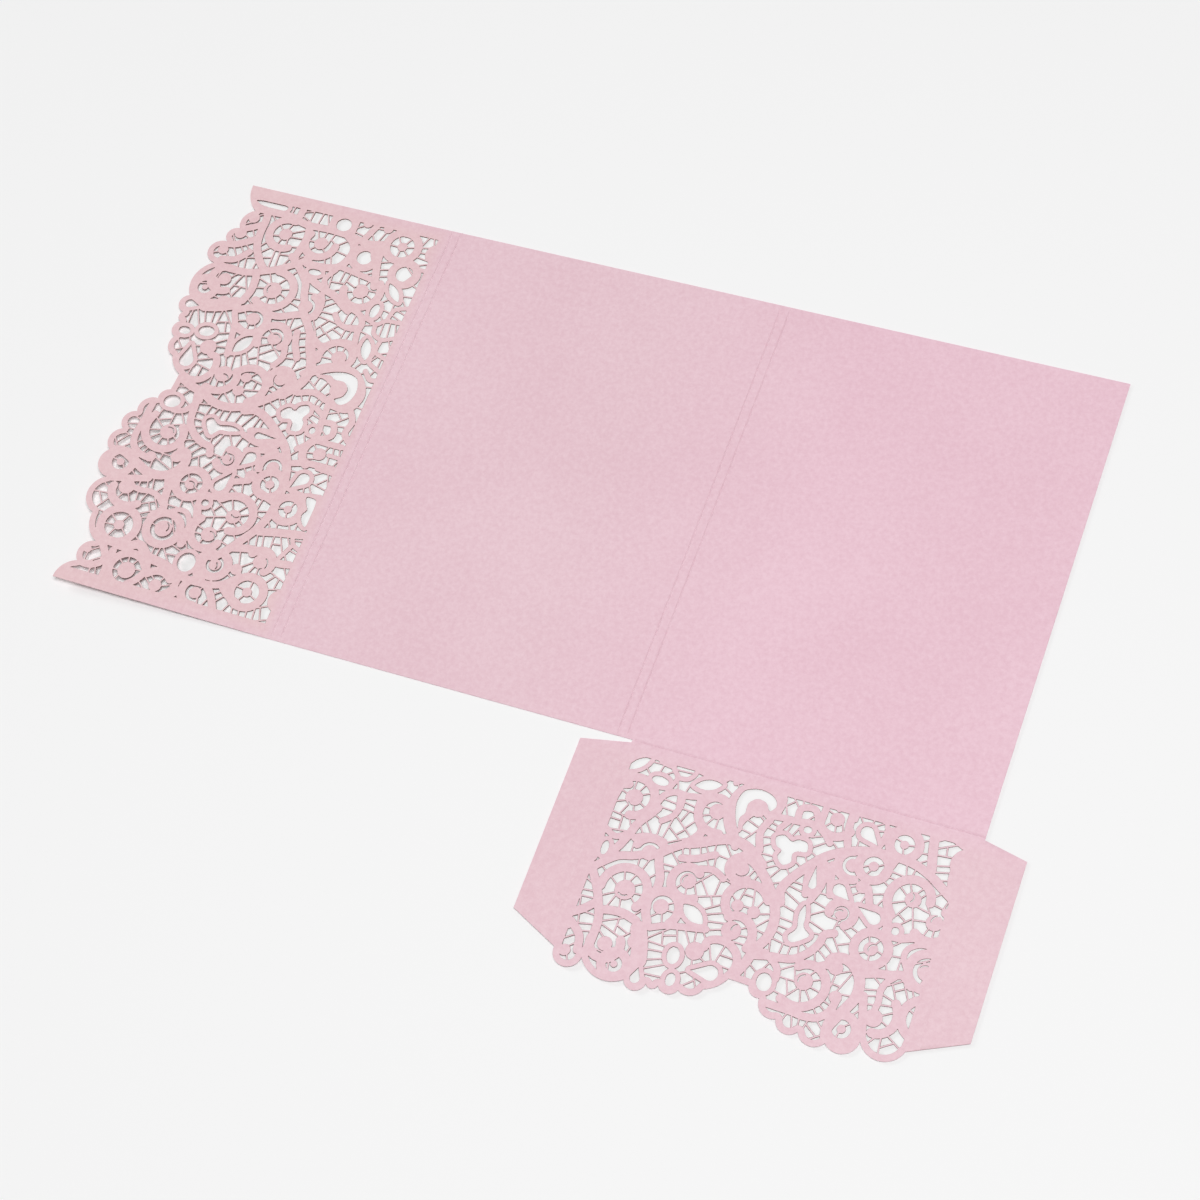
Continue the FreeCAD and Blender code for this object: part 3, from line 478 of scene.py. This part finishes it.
def bridges(longest):
    """Bars that could bridge an opening from the edge of a tape, shortest first. Each runs
    square to the tape, leaning by LEAN times the sine of its place, until it meets card."""
    reach = np.arange(0.1, longest + 0.6, 0.12)
    found = []
    for line, width in tapes:
        points, way = resampled(line, 0.9)
        if not len(points):
            continue
        across = np.stack([-way[:, 1], way[:, 0]], -1)
        leaning = across + LEAN * np.sin(points @ LEAN_WAVE)[:, None] * way
        leaning /= np.hypot(*leaning.T)[:, None]
        for hand in (1, -1):
            edge = points + hand * across * width / 2
            rays = edge[:, None, :] + hand * leaning[:, None, :] * reach[None, :, None]
            card = at(rays.reshape(-1, 2)).reshape(rays.shape[:2])
            opened = card[:, 4] > 0.12
            hit = card[:, 4:] < 0
            first = np.argmax(hit, 1) + 4
            keep = opened & hit.any(1) & (reach[first] > 0.8)
            for k in np.flatnonzero(keep):
                found.append((reach[first[k]], edge[k] - hand * across[k] * ROOT,
                              rays[k, first[k]] + hand * across[k] * ROOT))
    found.sort(key=lambda bar: bar[0])
    return found


# Bars are placed in rounds, each with the longest bar it may lay and how far
# its bars keep from one another
ROUNDS = ((4.5, PITCH), (9.0, PITCH * 1.15), (9.0, PITCH * 1.5))
placed = np.empty((0, 2))
marks = np.array([0.3, 0.5, 0.7])[:, None]
for longest, pitch in ROUNDS:
    for length, p, q in bridges(longest):
        spots = p + marks * (q - p)
        if len(placed) and np.min(np.hypot(*(placed[None] - spots[:, None]).reshape(-1, 2).T)) < pitch:
            continue
        if (at(p + np.linspace(0.25, 0.75, 5)[:, None] * (q - p)) < 0.25).any():
            continue
        placed = np.vstack([placed, p + np.linspace(0.1, 0.9, 7)[:, None] * (q - p)])
        lay(np.stack([p, q]), BAR)


def openings(field, smallest, slack):
    """Outlines of the openings: the zero line of the distance, which crosses each side of a
    grid cell where the sign changes, joined from cell to cell and thinned to the slack."""
    card = field <= 0
    rows, columns = np.nonzero(card[:-1] != card[1:])
    share = field[rows, columns] / (field[rows, columns] - field[rows + 1, columns])
    points = [np.stack([U0 + GRID * (rows + share), V0 + GRID * columns], -1)]
    long_side = np.full(card.shape, -1)
    long_side[rows, columns] = np.arange(len(rows))
    count = len(rows)
    rows, columns = np.nonzero(card[:, :-1] != card[:, 1:])
    share = field[rows, columns] / (field[rows, columns] - field[rows, columns + 1])
    points.append(np.stack([U0 + GRID * rows, V0 + GRID * (columns + share)], -1))
    points = np.vstack(points)
    short_side = np.full(card.shape, -1)
    short_side[rows, columns] = count + np.arange(len(rows))
    near, far = long_side[:-1, :-1], long_side[:-1, 1:]
    first, last = short_side[:-1, :-1], short_side[1:, :-1]
    sides = np.stack([near, far, first, last], -1).reshape(-1, 4)
    met = (sides >= 0).sum(1)
    plain = sides[met == 2]
    pairs = np.sort(plain, 1)[:, 2:]
    saddle = sides[met == 4]
    corner = card[:-1, :-1].reshape(-1)[met == 4]
    pairs = np.vstack([pairs, np.stack([saddle[:, 0], np.where(corner, saddle[:, 3], saddle[:, 2])], -1),
                       np.stack([saddle[:, 1], np.where(corner, saddle[:, 2], saddle[:, 3])], -1)])
    both = np.vstack([pairs, pairs[:, ::-1]])
    both = both[np.argsort(both[:, 0], kind="stable")]
    beside = both[:, 1].reshape(-1, 2).tolist()
    seen = [False] * len(points)
    kept = []
    for start in range(len(points)):
        if seen[start]:
            continue
        loop, at_point, before = [], start, -1
        while not seen[at_point]:
            seen[at_point] = True
            loop.append(at_point)
            a, b = beside[at_point]
            at_point, before = (a if a != before else b), at_point
        outline = points[loop]
        u, v = outline.T
        size = np.sum(u * np.roll(v, -1) - v * np.roll(u, -1)) / 2
        if abs(size) > smallest:
            kept.append(thinned(outline if size > 0 else outline[::-1], slack))
    return kept


def thinned(points, slack):
    """The outline with only those points that stray more than the slack from the straight
    line between the kept ones on each side."""
    far = int(np.argmax(np.hypot(*(points - points[0]).T)))
    ring = np.vstack([points, points[:1]])
    keep = np.zeros(len(ring), bool)
    keep[[0, far, len(ring) - 1]] = True
    runs = [(0, far), (far, len(ring) - 1)]
    while runs:
        i, j = runs.pop()
        if j - i < 2:
            continue
        along = ring[j] - ring[i]
        off = ring[i + 1:j] - ring[i]
        stray = np.abs(along[0] * off[:, 1] - along[1] * off[:, 0]) / max(np.hypot(*along), 1e-6)
        k = int(np.argmax(stray))
        if stray[k] > slack:
            keep[i + 1 + k] = True
            runs += [(i, i + 1 + k), (i + 1 + k, j)]
    return ring[:-1][keep[:-1]]


def shortest_bar(loop):
    """The shortest line between two points of an opening's outline that leaves a third of
    its area or more on each side, from the running sum of the outline's cross products."""
    points, _ = resampled(np.vstack([loop, loop[:1]]), 0.5)
    u, v = points.T
    turn = np.concatenate([[0], np.cumsum(u[:-1] * v[1:] - v[:-1] * u[1:])])
    whole = turn[-1] + u[-1] * v[0] - v[-1] * u[0]
    cut = turn[None, :] - turn[:, None] + u[None, :] * v[:, None] - v[None, :] * u[:, None]
    share = cut / whole
    length = np.hypot(u[:, None] - u, v[:, None] - v)
    length[(share < 0.33) | (share > 0.67)] = np.inf
    length[np.tril_indices(len(points))] = np.inf
    for k in np.argsort(length, None)[:600]:
        p, q = (points[i] for i in np.unravel_index(k, length.shape))
        if (at(p + np.linspace(0.2, 0.8, 5)[:, None] * (q - p)) > 0.15).all():
            return p, q
    return None


# Openings larger than these square millimetres are split, in two rounds
for largest in (30.0, 20.0):
    for loop in openings(gap, largest, 0.05):
        found = shortest_bar(loop)
        if found:
            p, q = found
            run_on = ROOT * (q - p) / np.hypot(*(q - p))
            lay(np.stack([p - run_on, q + run_on]), BAR)

# Framed openings are cut clear last, and slits curl the eyes into their tapes
for outline in framed:
    rows, columns = window_round(outline, 0)
    within = inside(outline, rows, columns)
    ring = np.vstack([outline, outline[:1]])
    depth = np.full(within.shape, FAR)
    for p, q in zip(ring, ring[1:]):
        np.minimum(depth, off_segment(p, q, rows, columns), out=depth)
    part = gap[rows, columns]
    part[within] = depth[within]
for u, v, radius, start, sweep in CURLS:
    line = polar(u, v, radius, np.linspace(start, start + sweep, 9))
    for p, q in zip(line, line[1:]):
        rows, columns = window_round(np.stack([p, q]), 1.0)
        part = gap[rows, columns]
        np.maximum(part, SLIT / 2 - off_segment(p, q, rows, columns), out=part)

# ---------------------------------------------------------------------------
# The card: one sheet of pearl card, cut and scored by a laser and opened out.
# Lace flap, double fold, centre panel, double fold and side panel run from
# left to right, and the lace pocket hangs below the side panel between tabs.
# ---------------------------------------------------------------------------

# Sizes in millimetres, from the middle of the centre panel
THICK = 0.35
HALF = 89.0             # half the panels' height
INNER = 63.5            # to the inner fold of each double fold
OUTER = 67.0            # to its outer fold
SIDE = 125.0            # width of the side panel
TAB = 15.0              # how far a glue tab reaches out
TAB_TOP, TAB_OUTER_TOP = 1.1, 4.4   # its sloped top edge, below the fold
TAB_CHAMFER = 8.6       # from its long chamfer up to its outer edge
NOTCH = 2.3             # notch at the pocket's inner corner
GROOVE = 0.8            # half the width of a scored fold
GROOVE_DEPTH = 0.15
BEAD = 0.05             # height of the bead on each side of a groove
DARK_RIM_WIDTH = 0.12             # width of the darkened rim round an opening, scorch and painted shade

# The middle of the drawing, reduced to the side panel's width, fits the pocket
POCKET_SCALE = 125 / 129.5
POCKET_TOP = 3.73       # the u that falls on the pocket's fold
POCKET_START = 23.94    # the v that falls on its left side
POCKET_MARGIN = 5.0     # card left whole along its fold and its left side
POCKET_END = 124.5      # where its openings stop, from its left side

# How far each part stays lifted, and how far its lift lets it reach
TOP_LIFT, FOOT_LIFT = math.radians(0.4), math.radians(2.0)
SIDE_LIFT = math.radians(0.03)
POCKET_LEFT_LIFT, POCKET_RIGHT_LIFT = math.radians(0.4), math.radians(0.07)
FLAP_REACH, POCKET_REACH, SIDE_REACH = np.cos(np.radians((2.4, 0.36, 0.1)))

# Darkening: 1 on a cut edge, where it is laser scorch
FACE_CHAR_AND_SHADE = 0.24        # share of it on the face beside the cut: partly scorch, partly painted shade for the shadow at the cut's foot
DWELL = 4               # added where the laser dwells
FOLD_PAINTED_SHADE = 0.3       # painted shade in a scored fold


def on_flap(points):
    """Drawing to sheet: away from the outer left fold by u, down from the top edge by v."""
    return np.stack([-OUTER - points[:, 0], HALF - points[:, 1]], -1)


def on_pocket(points):
    """Drawing to sheet: along the pocket fold by v, down from it by u, both a little reduced."""
    return np.stack([OUTER + (points[:, 1] - POCKET_START) * POCKET_SCALE,
                     -HALF + (POCKET_TOP - points[:, 0]) * POCKET_SCALE], -1)


# The pocket's gap is closed along its fold and its two sides. Openings under
# SMALLEST square millimetres are left out, and outlines are kept to SLACK.
SMALLEST, SLACK = 0.25, 0.03
rows, columns = grid_u[:, None], grid_v[None, :]
pocket_gap = np.minimum(gap, rows - POCKET_TOP - POCKET_MARGIN)
pocket_gap = np.minimum(pocket_gap, columns - POCKET_START - POCKET_MARGIN)
pocket_gap = np.minimum(pocket_gap, POCKET_START + POCKET_END - columns)
holes = [on_flap(loop) for loop in openings(gap, SMALLEST, SLACK)]
holes += [on_pocket(loop)[::-1] for loop in openings(pocket_gap, SMALLEST, SLACK)]

# The sheet's outline, counterclockwise from the flap's top corner
flap_edge = on_flap(lobe_line)
pocket_lobes = [np.array(arc_through(*lobe)) for lobe in LOBES[3:17]]
pocket_edge = on_pocket(np.vstack([arc[:-1] for arc in pocket_lobes] + [pocket_lobes[-1][-1:]]))
left, right = OUTER, OUTER + SIDE
below = -HALF
outline = np.vstack([
    flap_edge,
    [(-OUTER, below), (-INNER, below), (INNER, below), (left, below),
     (left + NOTCH, below), (left + NOTCH, below - TAB_TOP),
     (left - TAB, below - TAB_OUTER_TOP), (left - TAB, pocket_edge[0][1] + TAB_CHAMFER)],
    pocket_edge,
    [(right + TAB, pocket_edge[-1][1] + TAB_CHAMFER), (right + TAB, below - TAB_OUTER_TOP),
     (right, below - TAB_TOP), (right, HALF),
     (left, HALF), (INNER, HALF), (-INNER, HALF), (-OUTER, HALF)]])


def rim(loop):
    """The outline moved into the card by the width of the darkened rim, scorch and painted shade:
    that width times the sum of the normals of the two sides that meet, over half the square of its length."""
    ahead = np.roll(loop, -1, 0) - loop
    way = np.stack([ahead[:, 1], -ahead[:, 0]], -1) / np.maximum(np.hypot(*ahead.T), 1e-6)[:, None]
    mean = way + np.roll(way, 1, 0)
    return loop + DARK_RIM_WIDTH * mean / np.maximum((mean ** 2).sum(1) / 2, 0.5)[:, None]


def pierced(loop):
    """1 at the tight corners of an outline, where the laser dwells: those that turn by
    more than 55 degrees, from the cross and dot products of the sides that meet."""
    ahead = np.roll(loop, -1, 0) - loop
    behind = loop - np.roll(loop, 1, 0)
    cross = behind[:, 0] * ahead[:, 1] - behind[:, 1] * ahead[:, 0]
    return (np.abs(np.arctan2(cross, (ahead * behind).sum(1))) > math.radians(55)).astype(float)


def closed(start, count):
    """The sides of a ring of points that are numbered from start."""
    around = np.arange(count)
    return np.stack([start + around, start + (around + 1) % count], -1).tolist()


# The flat sheet: its outline, every opening with the rim round it, each scored
# fold as five lines, and a coarse grid of points that keeps the triangles even
vertices, edges, faces, scorch_and_shade = [outline], [], [list(range(len(outline)))], [np.zeros(len(outline))]
total = len(outline)
for loop in holes:
    area = np.sum(loop[:, 0] * np.roll(loop[:, 1], -1) - loop[:, 1] * np.roll(loop[:, 0], -1))
    loop = loop if area > 0 else loop[::-1]
    faces.append(list(range(total, total + len(loop))))
    edges += closed(total + len(loop), len(loop))
    vertices += [loop, rim(loop)]
    scorch_and_shade += [1 + DWELL * pierced(loop), np.zeros(len(loop))]
    total += 2 * len(loop)

# Folds: start, end and how hard each is pressed
TAB_PRESS = 0.25
TAB_FOLD_TOP = 1.8      # the left tab's fold starts this far below the pocket's
folds = [((x, -HALF), (x, HALF), 1.0) for x in (-OUTER, -INNER, INNER, OUTER)]
folds += [((left + NOTCH, below), (right, below), 1.0),
          ((left, below - TAB_FOLD_TOP), (left, pocket_edge[0][1]), TAB_PRESS),
          ((right, below - TAB_TOP), (right, pocket_edge[-1][1]), TAB_PRESS)]
scored = []
for start, end, press in folds:
    p, q = np.array(start), np.array(end)
    way = (q - p) / np.hypot(*(q - p))
    across = np.array([-way[1], way[0]])
    share = np.linspace(0, 1, 40)[:, None]
    for step, height in ((-1, 0), (-0.5, BEAD), (0, -GROOVE_DEPTH), (0.5, BEAD), (1, 0)):
        line = p + share * (q - p) + across * step * GROOVE
        vertices.append(line)
        edges += [[total + k, total + k + 1] for k in range(len(line) - 1)]
        # The groove's middle line carries painted shade, as deep as the fold is pressed
        scorch_and_shade.append(np.full(len(line), 0.0 if step else FOLD_PAINTED_SHADE * press))
        scored.append((total, len(line), press * height))
        total += len(line)
grid = np.stack(np.meshgrid(np.arange(-62, 190, 4.0), np.arange(-86, 88, 4.0)), -1).reshape(-1, 2)
nearest = np.min([np.abs(grid[:, 0] - x) for x in (-INNER, INNER, OUTER)], 0)
grid = grid[nearest > 1]
vertices.append(grid)
scorch_and_shade.append(np.zeros(len(grid)))
flat = np.vstack(vertices)
scorch_and_shade = np.concatenate(scorch_and_shade)
depth = np.zeros(len(flat))
for start, count, height in scored:
    depth[start:start + count] = -height
made, _, triangles, origins, _, sources = delaunay_2d_cdt(
    [Vector(p) for p in flat.tolist()], edges, faces, 0, 1e-6, True)
made = np.array([tuple(p) for p in made])
char_and_shade_at = np.array([scorch_and_shade[where[0]] if where else 0.5 for where in origins])
sunk = np.array([depth[where[0]] if where else 0.0 for where in origins])
triangles = np.array([tri for tri, source in zip(triangles, sources) if source == [0]])


def folded(points, height):
    """Sheet to room, in metres: each part reaches out from its fold by its reach and rises
    by the sine of its lift. The flap's lift grows from the top edge down by 3 t squared
    less 2 t cubed, and the pocket's eases evenly from left to right."""
    x, y = points.T
    out = np.clip(-OUTER - x, 0, None)
    down = np.clip((HALF - y) / (2 * HALF), 0, 1)
    z = np.full(len(x), height) if np.isscalar(height) else height.copy()
    on_left = x < -OUTER
    lift = TOP_LIFT + (FOOT_LIFT - TOP_LIFT) * (3 * down ** 2 - 2 * down ** 3)
    turn = np.where(on_left, lift, 0.0)
    x = np.where(on_left, -OUTER - out * FLAP_REACH, x)
    z = z + out * np.sin(turn)
    hang = np.clip(-HALF - y, 0, None)
    along = np.clip((x - OUTER) / SIDE, 0, 1)
    turn = np.where(hang > 0, POCKET_LEFT_LIFT + (POCKET_RIGHT_LIFT - POCKET_LEFT_LIFT) * along, 0.0)
    y = np.where(hang > 0, -HALF - hang * POCKET_REACH, y)
    z = z + hang * np.sin(turn)
    beyond = x - OUTER
    side = (x > OUTER) | (hang > 0)
    x = np.where(side, OUTER + beyond * SIDE_REACH, x)
    z = np.where(side, z + beyond * math.sin(SIDE_LIFT), z)
    return np.stack([x, y, z], -1) / 1000


# Upper and lower faces, with walls along every side that only one triangle has
upper = folded(made, THICK - sunk)
lower = folded(made, 0.0)
count = len(made)
corners = made[triangles]
turn = np.cross(corners[:, 1] - corners[:, 0], corners[:, 2] - corners[:, 0])
triangles = np.where((turn > 0)[:, None], triangles, triangles[:, ::-1])
sides = np.vstack([triangles[:, [0, 1]], triangles[:, [1, 2]], triangles[:, [2, 0]]])
codes = sides[:, 0].astype(np.int64) * count + sides[:, 1]
single = ~np.isin(codes, sides[:, 1].astype(np.int64) * count + sides[:, 0])
a, b = sides[single].T
used = np.unique(triangles)
walls = np.vstack([np.stack([a, a + count, b + count], -1), np.stack([a, b + count, b], -1)])
everything = np.vstack([triangles, triangles[:, ::-1] + count, walls])
names = np.full(2 * count, -1)
shown = np.concatenate([used, used + count])
names[shown] = np.arange(len(shown))
mesh = bpy.data.meshes.new("laser_cut_card")
mesh.from_pydata(np.vstack([upper, lower])[shown].tolist(), [], names[everything].tolist())

# Darkening at every corner, all of it on the walls, where it is laser scorch. A share of it shows on the face
# beside a cut, partly scorch and partly painted shade for the shadow at the cut's foot, and in the folds it is
# painted shade. A warmer tint comes in over the first 6 mm of the flap and, fainter, of the pocket
WARM_TINT_EDGE, POCKET_WARM_TINT = 6.0, 0.25
walls_char = np.clip(np.maximum(char_and_shade_at[a], char_and_shade_at[b]), 0, 1)
corner_char_and_shade = np.concatenate([char_and_shade_at[triangles].reshape(-1) * FACE_CHAR_AND_SHADE] * 2
                      + [np.repeat(np.concatenate([walls_char] * 2), 3)])
mesh.attributes.new("char_and_shade", "FLOAT", "CORNER").data.foreach_set("value", corner_char_and_shade.astype(np.float32))
warm_tint = (np.clip((-OUTER - made[:, 0]) / WARM_TINT_EDGE, 0, 1)
         + POCKET_WARM_TINT * np.clip((-HALF - made[:, 1]) / WARM_TINT_EDGE, 0, 1))
warm_tint = np.concatenate([warm_tint, warm_tint])[shown]
mesh.attributes.new("warm_tint", "FLOAT", "POINT").data.foreach_set("value", warm_tint.astype(np.float32))
card = bpy.data.objects.new("laser_cut_card", mesh)
bpy.context.collection.objects.link(card)


class Socket:
    """One socket of a material. The signs + - * on it add Math nodes."""

    def __init__(self, tree, socket=None):
        self.tree = tree
        self.socket = socket

    def node(self, kind, settings, inputs, output=0):
        """A node of a kind, with its settings, its inputs' values or links, and one output."""
        added = self.tree.nodes.new(kind)
        for name, value in settings.items():
            setattr(added, name, value)
        for name, value in inputs.items():
            if isinstance(value, Socket):
                self.tree.links.new(value.socket, added.inputs[name])
            else:
                added.inputs[name].default_value = value
        return Socket(self.tree, added.outputs[output])

    def maths(self, operation, a, b):
        """A Math node on two values."""
        return self.node("ShaderNodeMath", {"operation": operation}, {0: a, 1: b})

    def __add__(self, other):
        return self.maths("ADD", self, other)

    def __sub__(self, other):
        return self.maths("SUBTRACT", self, other)

    def __rsub__(self, other):
        return self.maths("SUBTRACT", other, self)

    def __mul__(self, other):
        return self.maths("MULTIPLY", self, other)

    __radd__ = __add__
    __rmul__ = __mul__

    def blend(self, one, other):
        """The colour between one and other that this value, from 0 to 1, picks."""
        return self.node("ShaderNodeMix", {"data_type": "RGBA"}, {0: self, 6: one, 7: other}, 2)


# Pearl card: pink, rosier on the side panel and warmer over the flap and, faintly, the pocket,
# each between a deeper and a paler fibre
PINK = (0.77, 0.522, 0.587, 1)
PALE_PINK = (0.835, 0.608, 0.668, 1)
ROSE = (0.792, 0.51, 0.599, 1)
PALE_ROSE = (0.859, 0.595, 0.682, 1)
WARM_PINK = (0.768, 0.522, 0.55, 1)
PALE_WARM_PINK = (0.833, 0.607, 0.625, 1)
# The brown of laser scorch on the cut walls; beside the cuts and in the folds it also paints shade
SCORCH_AND_SHADE_BROWN = (0.15, 0.055, 0.03, 1)
GRAIN, FELT, CLOUD = 620.0, 1900.0, 14.0    # waves a metre
RELIEF = 0.00012                            # height of the felt grain, metres

card_finish = bpy.data.materials.new("pearl_card")
card_finish.use_nodes = True
tree = card_finish.node_tree
shader = tree.nodes["Principled BSDF"]
paint = Socket(tree)
place = paint.node("ShaderNodeTexCoord", {}, {}, "Object")
grain = paint.node("ShaderNodeTexNoise", {}, {"Vector": place, "Scale": GRAIN, "Detail": 4.0, "Roughness": 0.65})
cloud = paint.node("ShaderNodeTexNoise", {}, {"Vector": place, "Scale": CLOUD, "Detail": 2.0, "Roughness": 0.5})
felt = paint.node("ShaderNodeTexNoise", {}, {"Vector": place, "Scale": FELT, "Detail": 2.0, "Roughness": 0.6})
char_and_shade = paint.node("ShaderNodeAttribute", {"attribute_type": "GEOMETRY", "attribute_name": "char_and_shade"}, {}, "Fac")
mottle = paint.node("ShaderNodeMapRange", {}, {0: grain * 0.75 + felt * 0.25 + (cloud - 0.5) * 0.3,
                                               1: 0.36, 2: 0.66, 3: 0.0, 4: 1.0})
warm_tint = paint.node("ShaderNodeAttribute", {"attribute_type": "GEOMETRY", "attribute_name": "warm_tint"}, {}, "Fac")
rightward = paint.node("ShaderNodeSeparateXYZ", {}, {"Vector": place}, "X")
upward = paint.node("ShaderNodeSeparateXYZ", {}, {"Vector": place}, "Y")
# The rosier tone comes in across the centre panel and goes again below the fold
rosier = (paint.node("ShaderNodeMapRange", {}, {0: rightward, 1: 0.02, 2: 0.1, 3: 0.0, 4: 0.9})
          * paint.node("ShaderNodeMapRange", {}, {0: upward, 1: -0.1, 2: -0.086, 3: 0.2, 4: 1.0}))
colour = mottle.blend(warm_tint.blend(rosier.blend(PINK, ROSE), WARM_PINK),
                      warm_tint.blend(rosier.blend(PALE_PINK, PALE_ROSE), PALE_WARM_PINK))
# Toward the brown by the darkening attribute: scorch on the walls, scorch and painted shade beside the cuts,
# painted shade in the folds
colour = char_and_shade.blend(colour, SCORCH_AND_SHADE_BROWN)
rough = 0.52 + char_and_shade * 0.3
relief = paint.node("ShaderNodeBump", {}, {"Strength": 0.35, "Distance": RELIEF,
                                           "Height": felt * 0.5 + grain * 0.5})
tree.links.new(colour.socket, shader.inputs["Base Color"])
tree.links.new(rough.socket, shader.inputs["Roughness"])
tree.links.new(relief.socket, shader.inputs["Normal"])
shader.inputs["Specular IOR Level"].default_value = 0.35
mesh.materials.append(card_finish)
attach(card, "root")
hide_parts("pocket_card")

# ---------------------------------------------------------------------------
# The table: a plain white board that the opened card lies on. It takes the soft
# shadows under the flap and the pocket, and far out it runs into an even pale
# backdrop. It isn't part of the card.
# ---------------------------------------------------------------------------

# Metres from the card's middle: a square under the card, the board's edge, and
# where the backdrop begins and is full
MIDDLE, BOARD = 0.6, 12.0
BACKDROP_BEGINS, BACKDROP_FULL = 0.6, 1.3
BOARD_TOP = -0.00005
BOARD_WHITE = (0.92, 0.92, 0.92, 1)
BACKDROP_WHITE = (0.9, 0.9, 0.9, 1)
lines = np.array([-BOARD, -MIDDLE, MIDDLE, BOARD])
board_x, board_y = np.meshgrid(lines, lines)
board_points = np.stack([board_x, board_y, np.full(board_x.shape, BOARD_TOP)], -1).reshape(-1, 3)
board_quads = [(k, k + 1, k + 5, k + 4) for k in (0, 1, 2, 4, 5, 6, 8, 9, 10)]
board_mesh = bpy.data.meshes.new("board")
board_mesh.from_pydata(board_points.tolist(), [], board_quads)
board = bpy.data.objects.new("board", board_mesh)
bpy.context.collection.objects.link(board)
board_finish = bpy.data.materials.new("white_board")
board_finish.use_nodes = True
board_tree = board_finish.node_tree
board_shader = board_tree.nodes["Principled BSDF"]
board_shader.inputs["Base Color"].default_value = BOARD_WHITE
board_shader.inputs["Roughness"].default_value = 0.9
board_shader.inputs["Specular IOR Level"].default_value = 0.1
ground = Socket(board_tree)
spot = ground.node("ShaderNodeTexCoord", {}, {}, "Object")
away = ground.node("ShaderNodeVectorMath", {"operation": "LENGTH"}, {0: spot}, "Value")
seen = ground.node("ShaderNodeLightPath", {}, {}, "Is Camera Ray")
for ray in ("Is Glossy Ray", "Is Transmission Ray"):
    seen = seen.maths("MAXIMUM", seen, ground.node("ShaderNodeLightPath", {}, {}, ray))
far_out = seen * ground.node("ShaderNodeMapRange", {"interpolation_type": "SMOOTHSTEP"},
                             {0: away, 1: BACKDROP_BEGINS, 2: BACKDROP_FULL})
backdrop = ground.node("ShaderNodeEmission", {}, {"Color": BACKDROP_WHITE, "Strength": 1.0})
table = ground.node("ShaderNodeMixShader", {}, {0: far_out, 1: Socket(board_tree, board_shader.outputs[0]),
                                                 2: backdrop})
board_tree.links.new(table.socket, board_tree.nodes["Material Output"].inputs["Surface"])
board_mesh.materials.append(board_finish)

# ---------------------------------------------------------------------------
# The light: an even white room, a large soft lamp high over the right of the
# card, and a smaller one low on the left that rakes the cut edges.
# ---------------------------------------------------------------------------

# Lamps: name, width in metres, watts and place. Each points at the card's middle.
LAMPS = (("right_lamp", 1.3, 39.6, (0.5, -0.3, 2.3)), ("left_lamp", 0.5, 14.0, (-2.2, 0.6, 0.9)))
ROOM_LIGHT = 0.26

world = bpy.data.worlds.new("white_room")
bpy.context.scene.world = world
world.use_nodes = True
world.node_tree.nodes["Background"].inputs["Color"].default_value = (1, 1, 1, 1)
world.node_tree.nodes["Background"].inputs["Strength"].default_value = ROOM_LIGHT
for name, size, energy, place in LAMPS:
    lamp_data = bpy.data.lights.new(name, "AREA")
    lamp_data.shape = "DISK"
    lamp_data.size = size
    lamp_data.energy = energy
    lamp = bpy.data.objects.new(name, lamp_data)
    bpy.context.collection.objects.link(lamp)
    aim = (-Vector(place)).to_track_quat("-Z", "Y").to_matrix().to_4x4()
    lamp.matrix_world = Matrix.Translation(place) @ aim

# ---------------------------------------------------------------------------
# The camera: above the card and in front of it, a little to its right, and
# turned so that the card lies aslant. It has a long lens.
# ---------------------------------------------------------------------------

CAMERA_PLACE = (0.2967, -0.4048, 0.8193)
LOOKING = (-0.275, 0.389, -0.879)
UPRIGHT = (-0.244, 0.856, 0.456)
LENS, SENSOR = 80.7, 36

camera_data = bpy.data.cameras.new("camera")
camera_data.lens = LENS
camera_data.sensor_width = SENSOR
camera = bpy.data.objects.new("camera", camera_data)
bpy.context.collection.objects.link(camera)
back = -Vector(LOOKING).normalized()
across = Vector(UPRIGHT).cross(back).normalized()
over = back.cross(across)
turned = Matrix((across, over, back)).transposed().to_4x4()
camera.matrix_world = Matrix.Translation(CAMERA_PLACE) @ turned
bpy.context.scene.camera = camera
bpy.context.scene.view_settings.view_transform = "Standard"
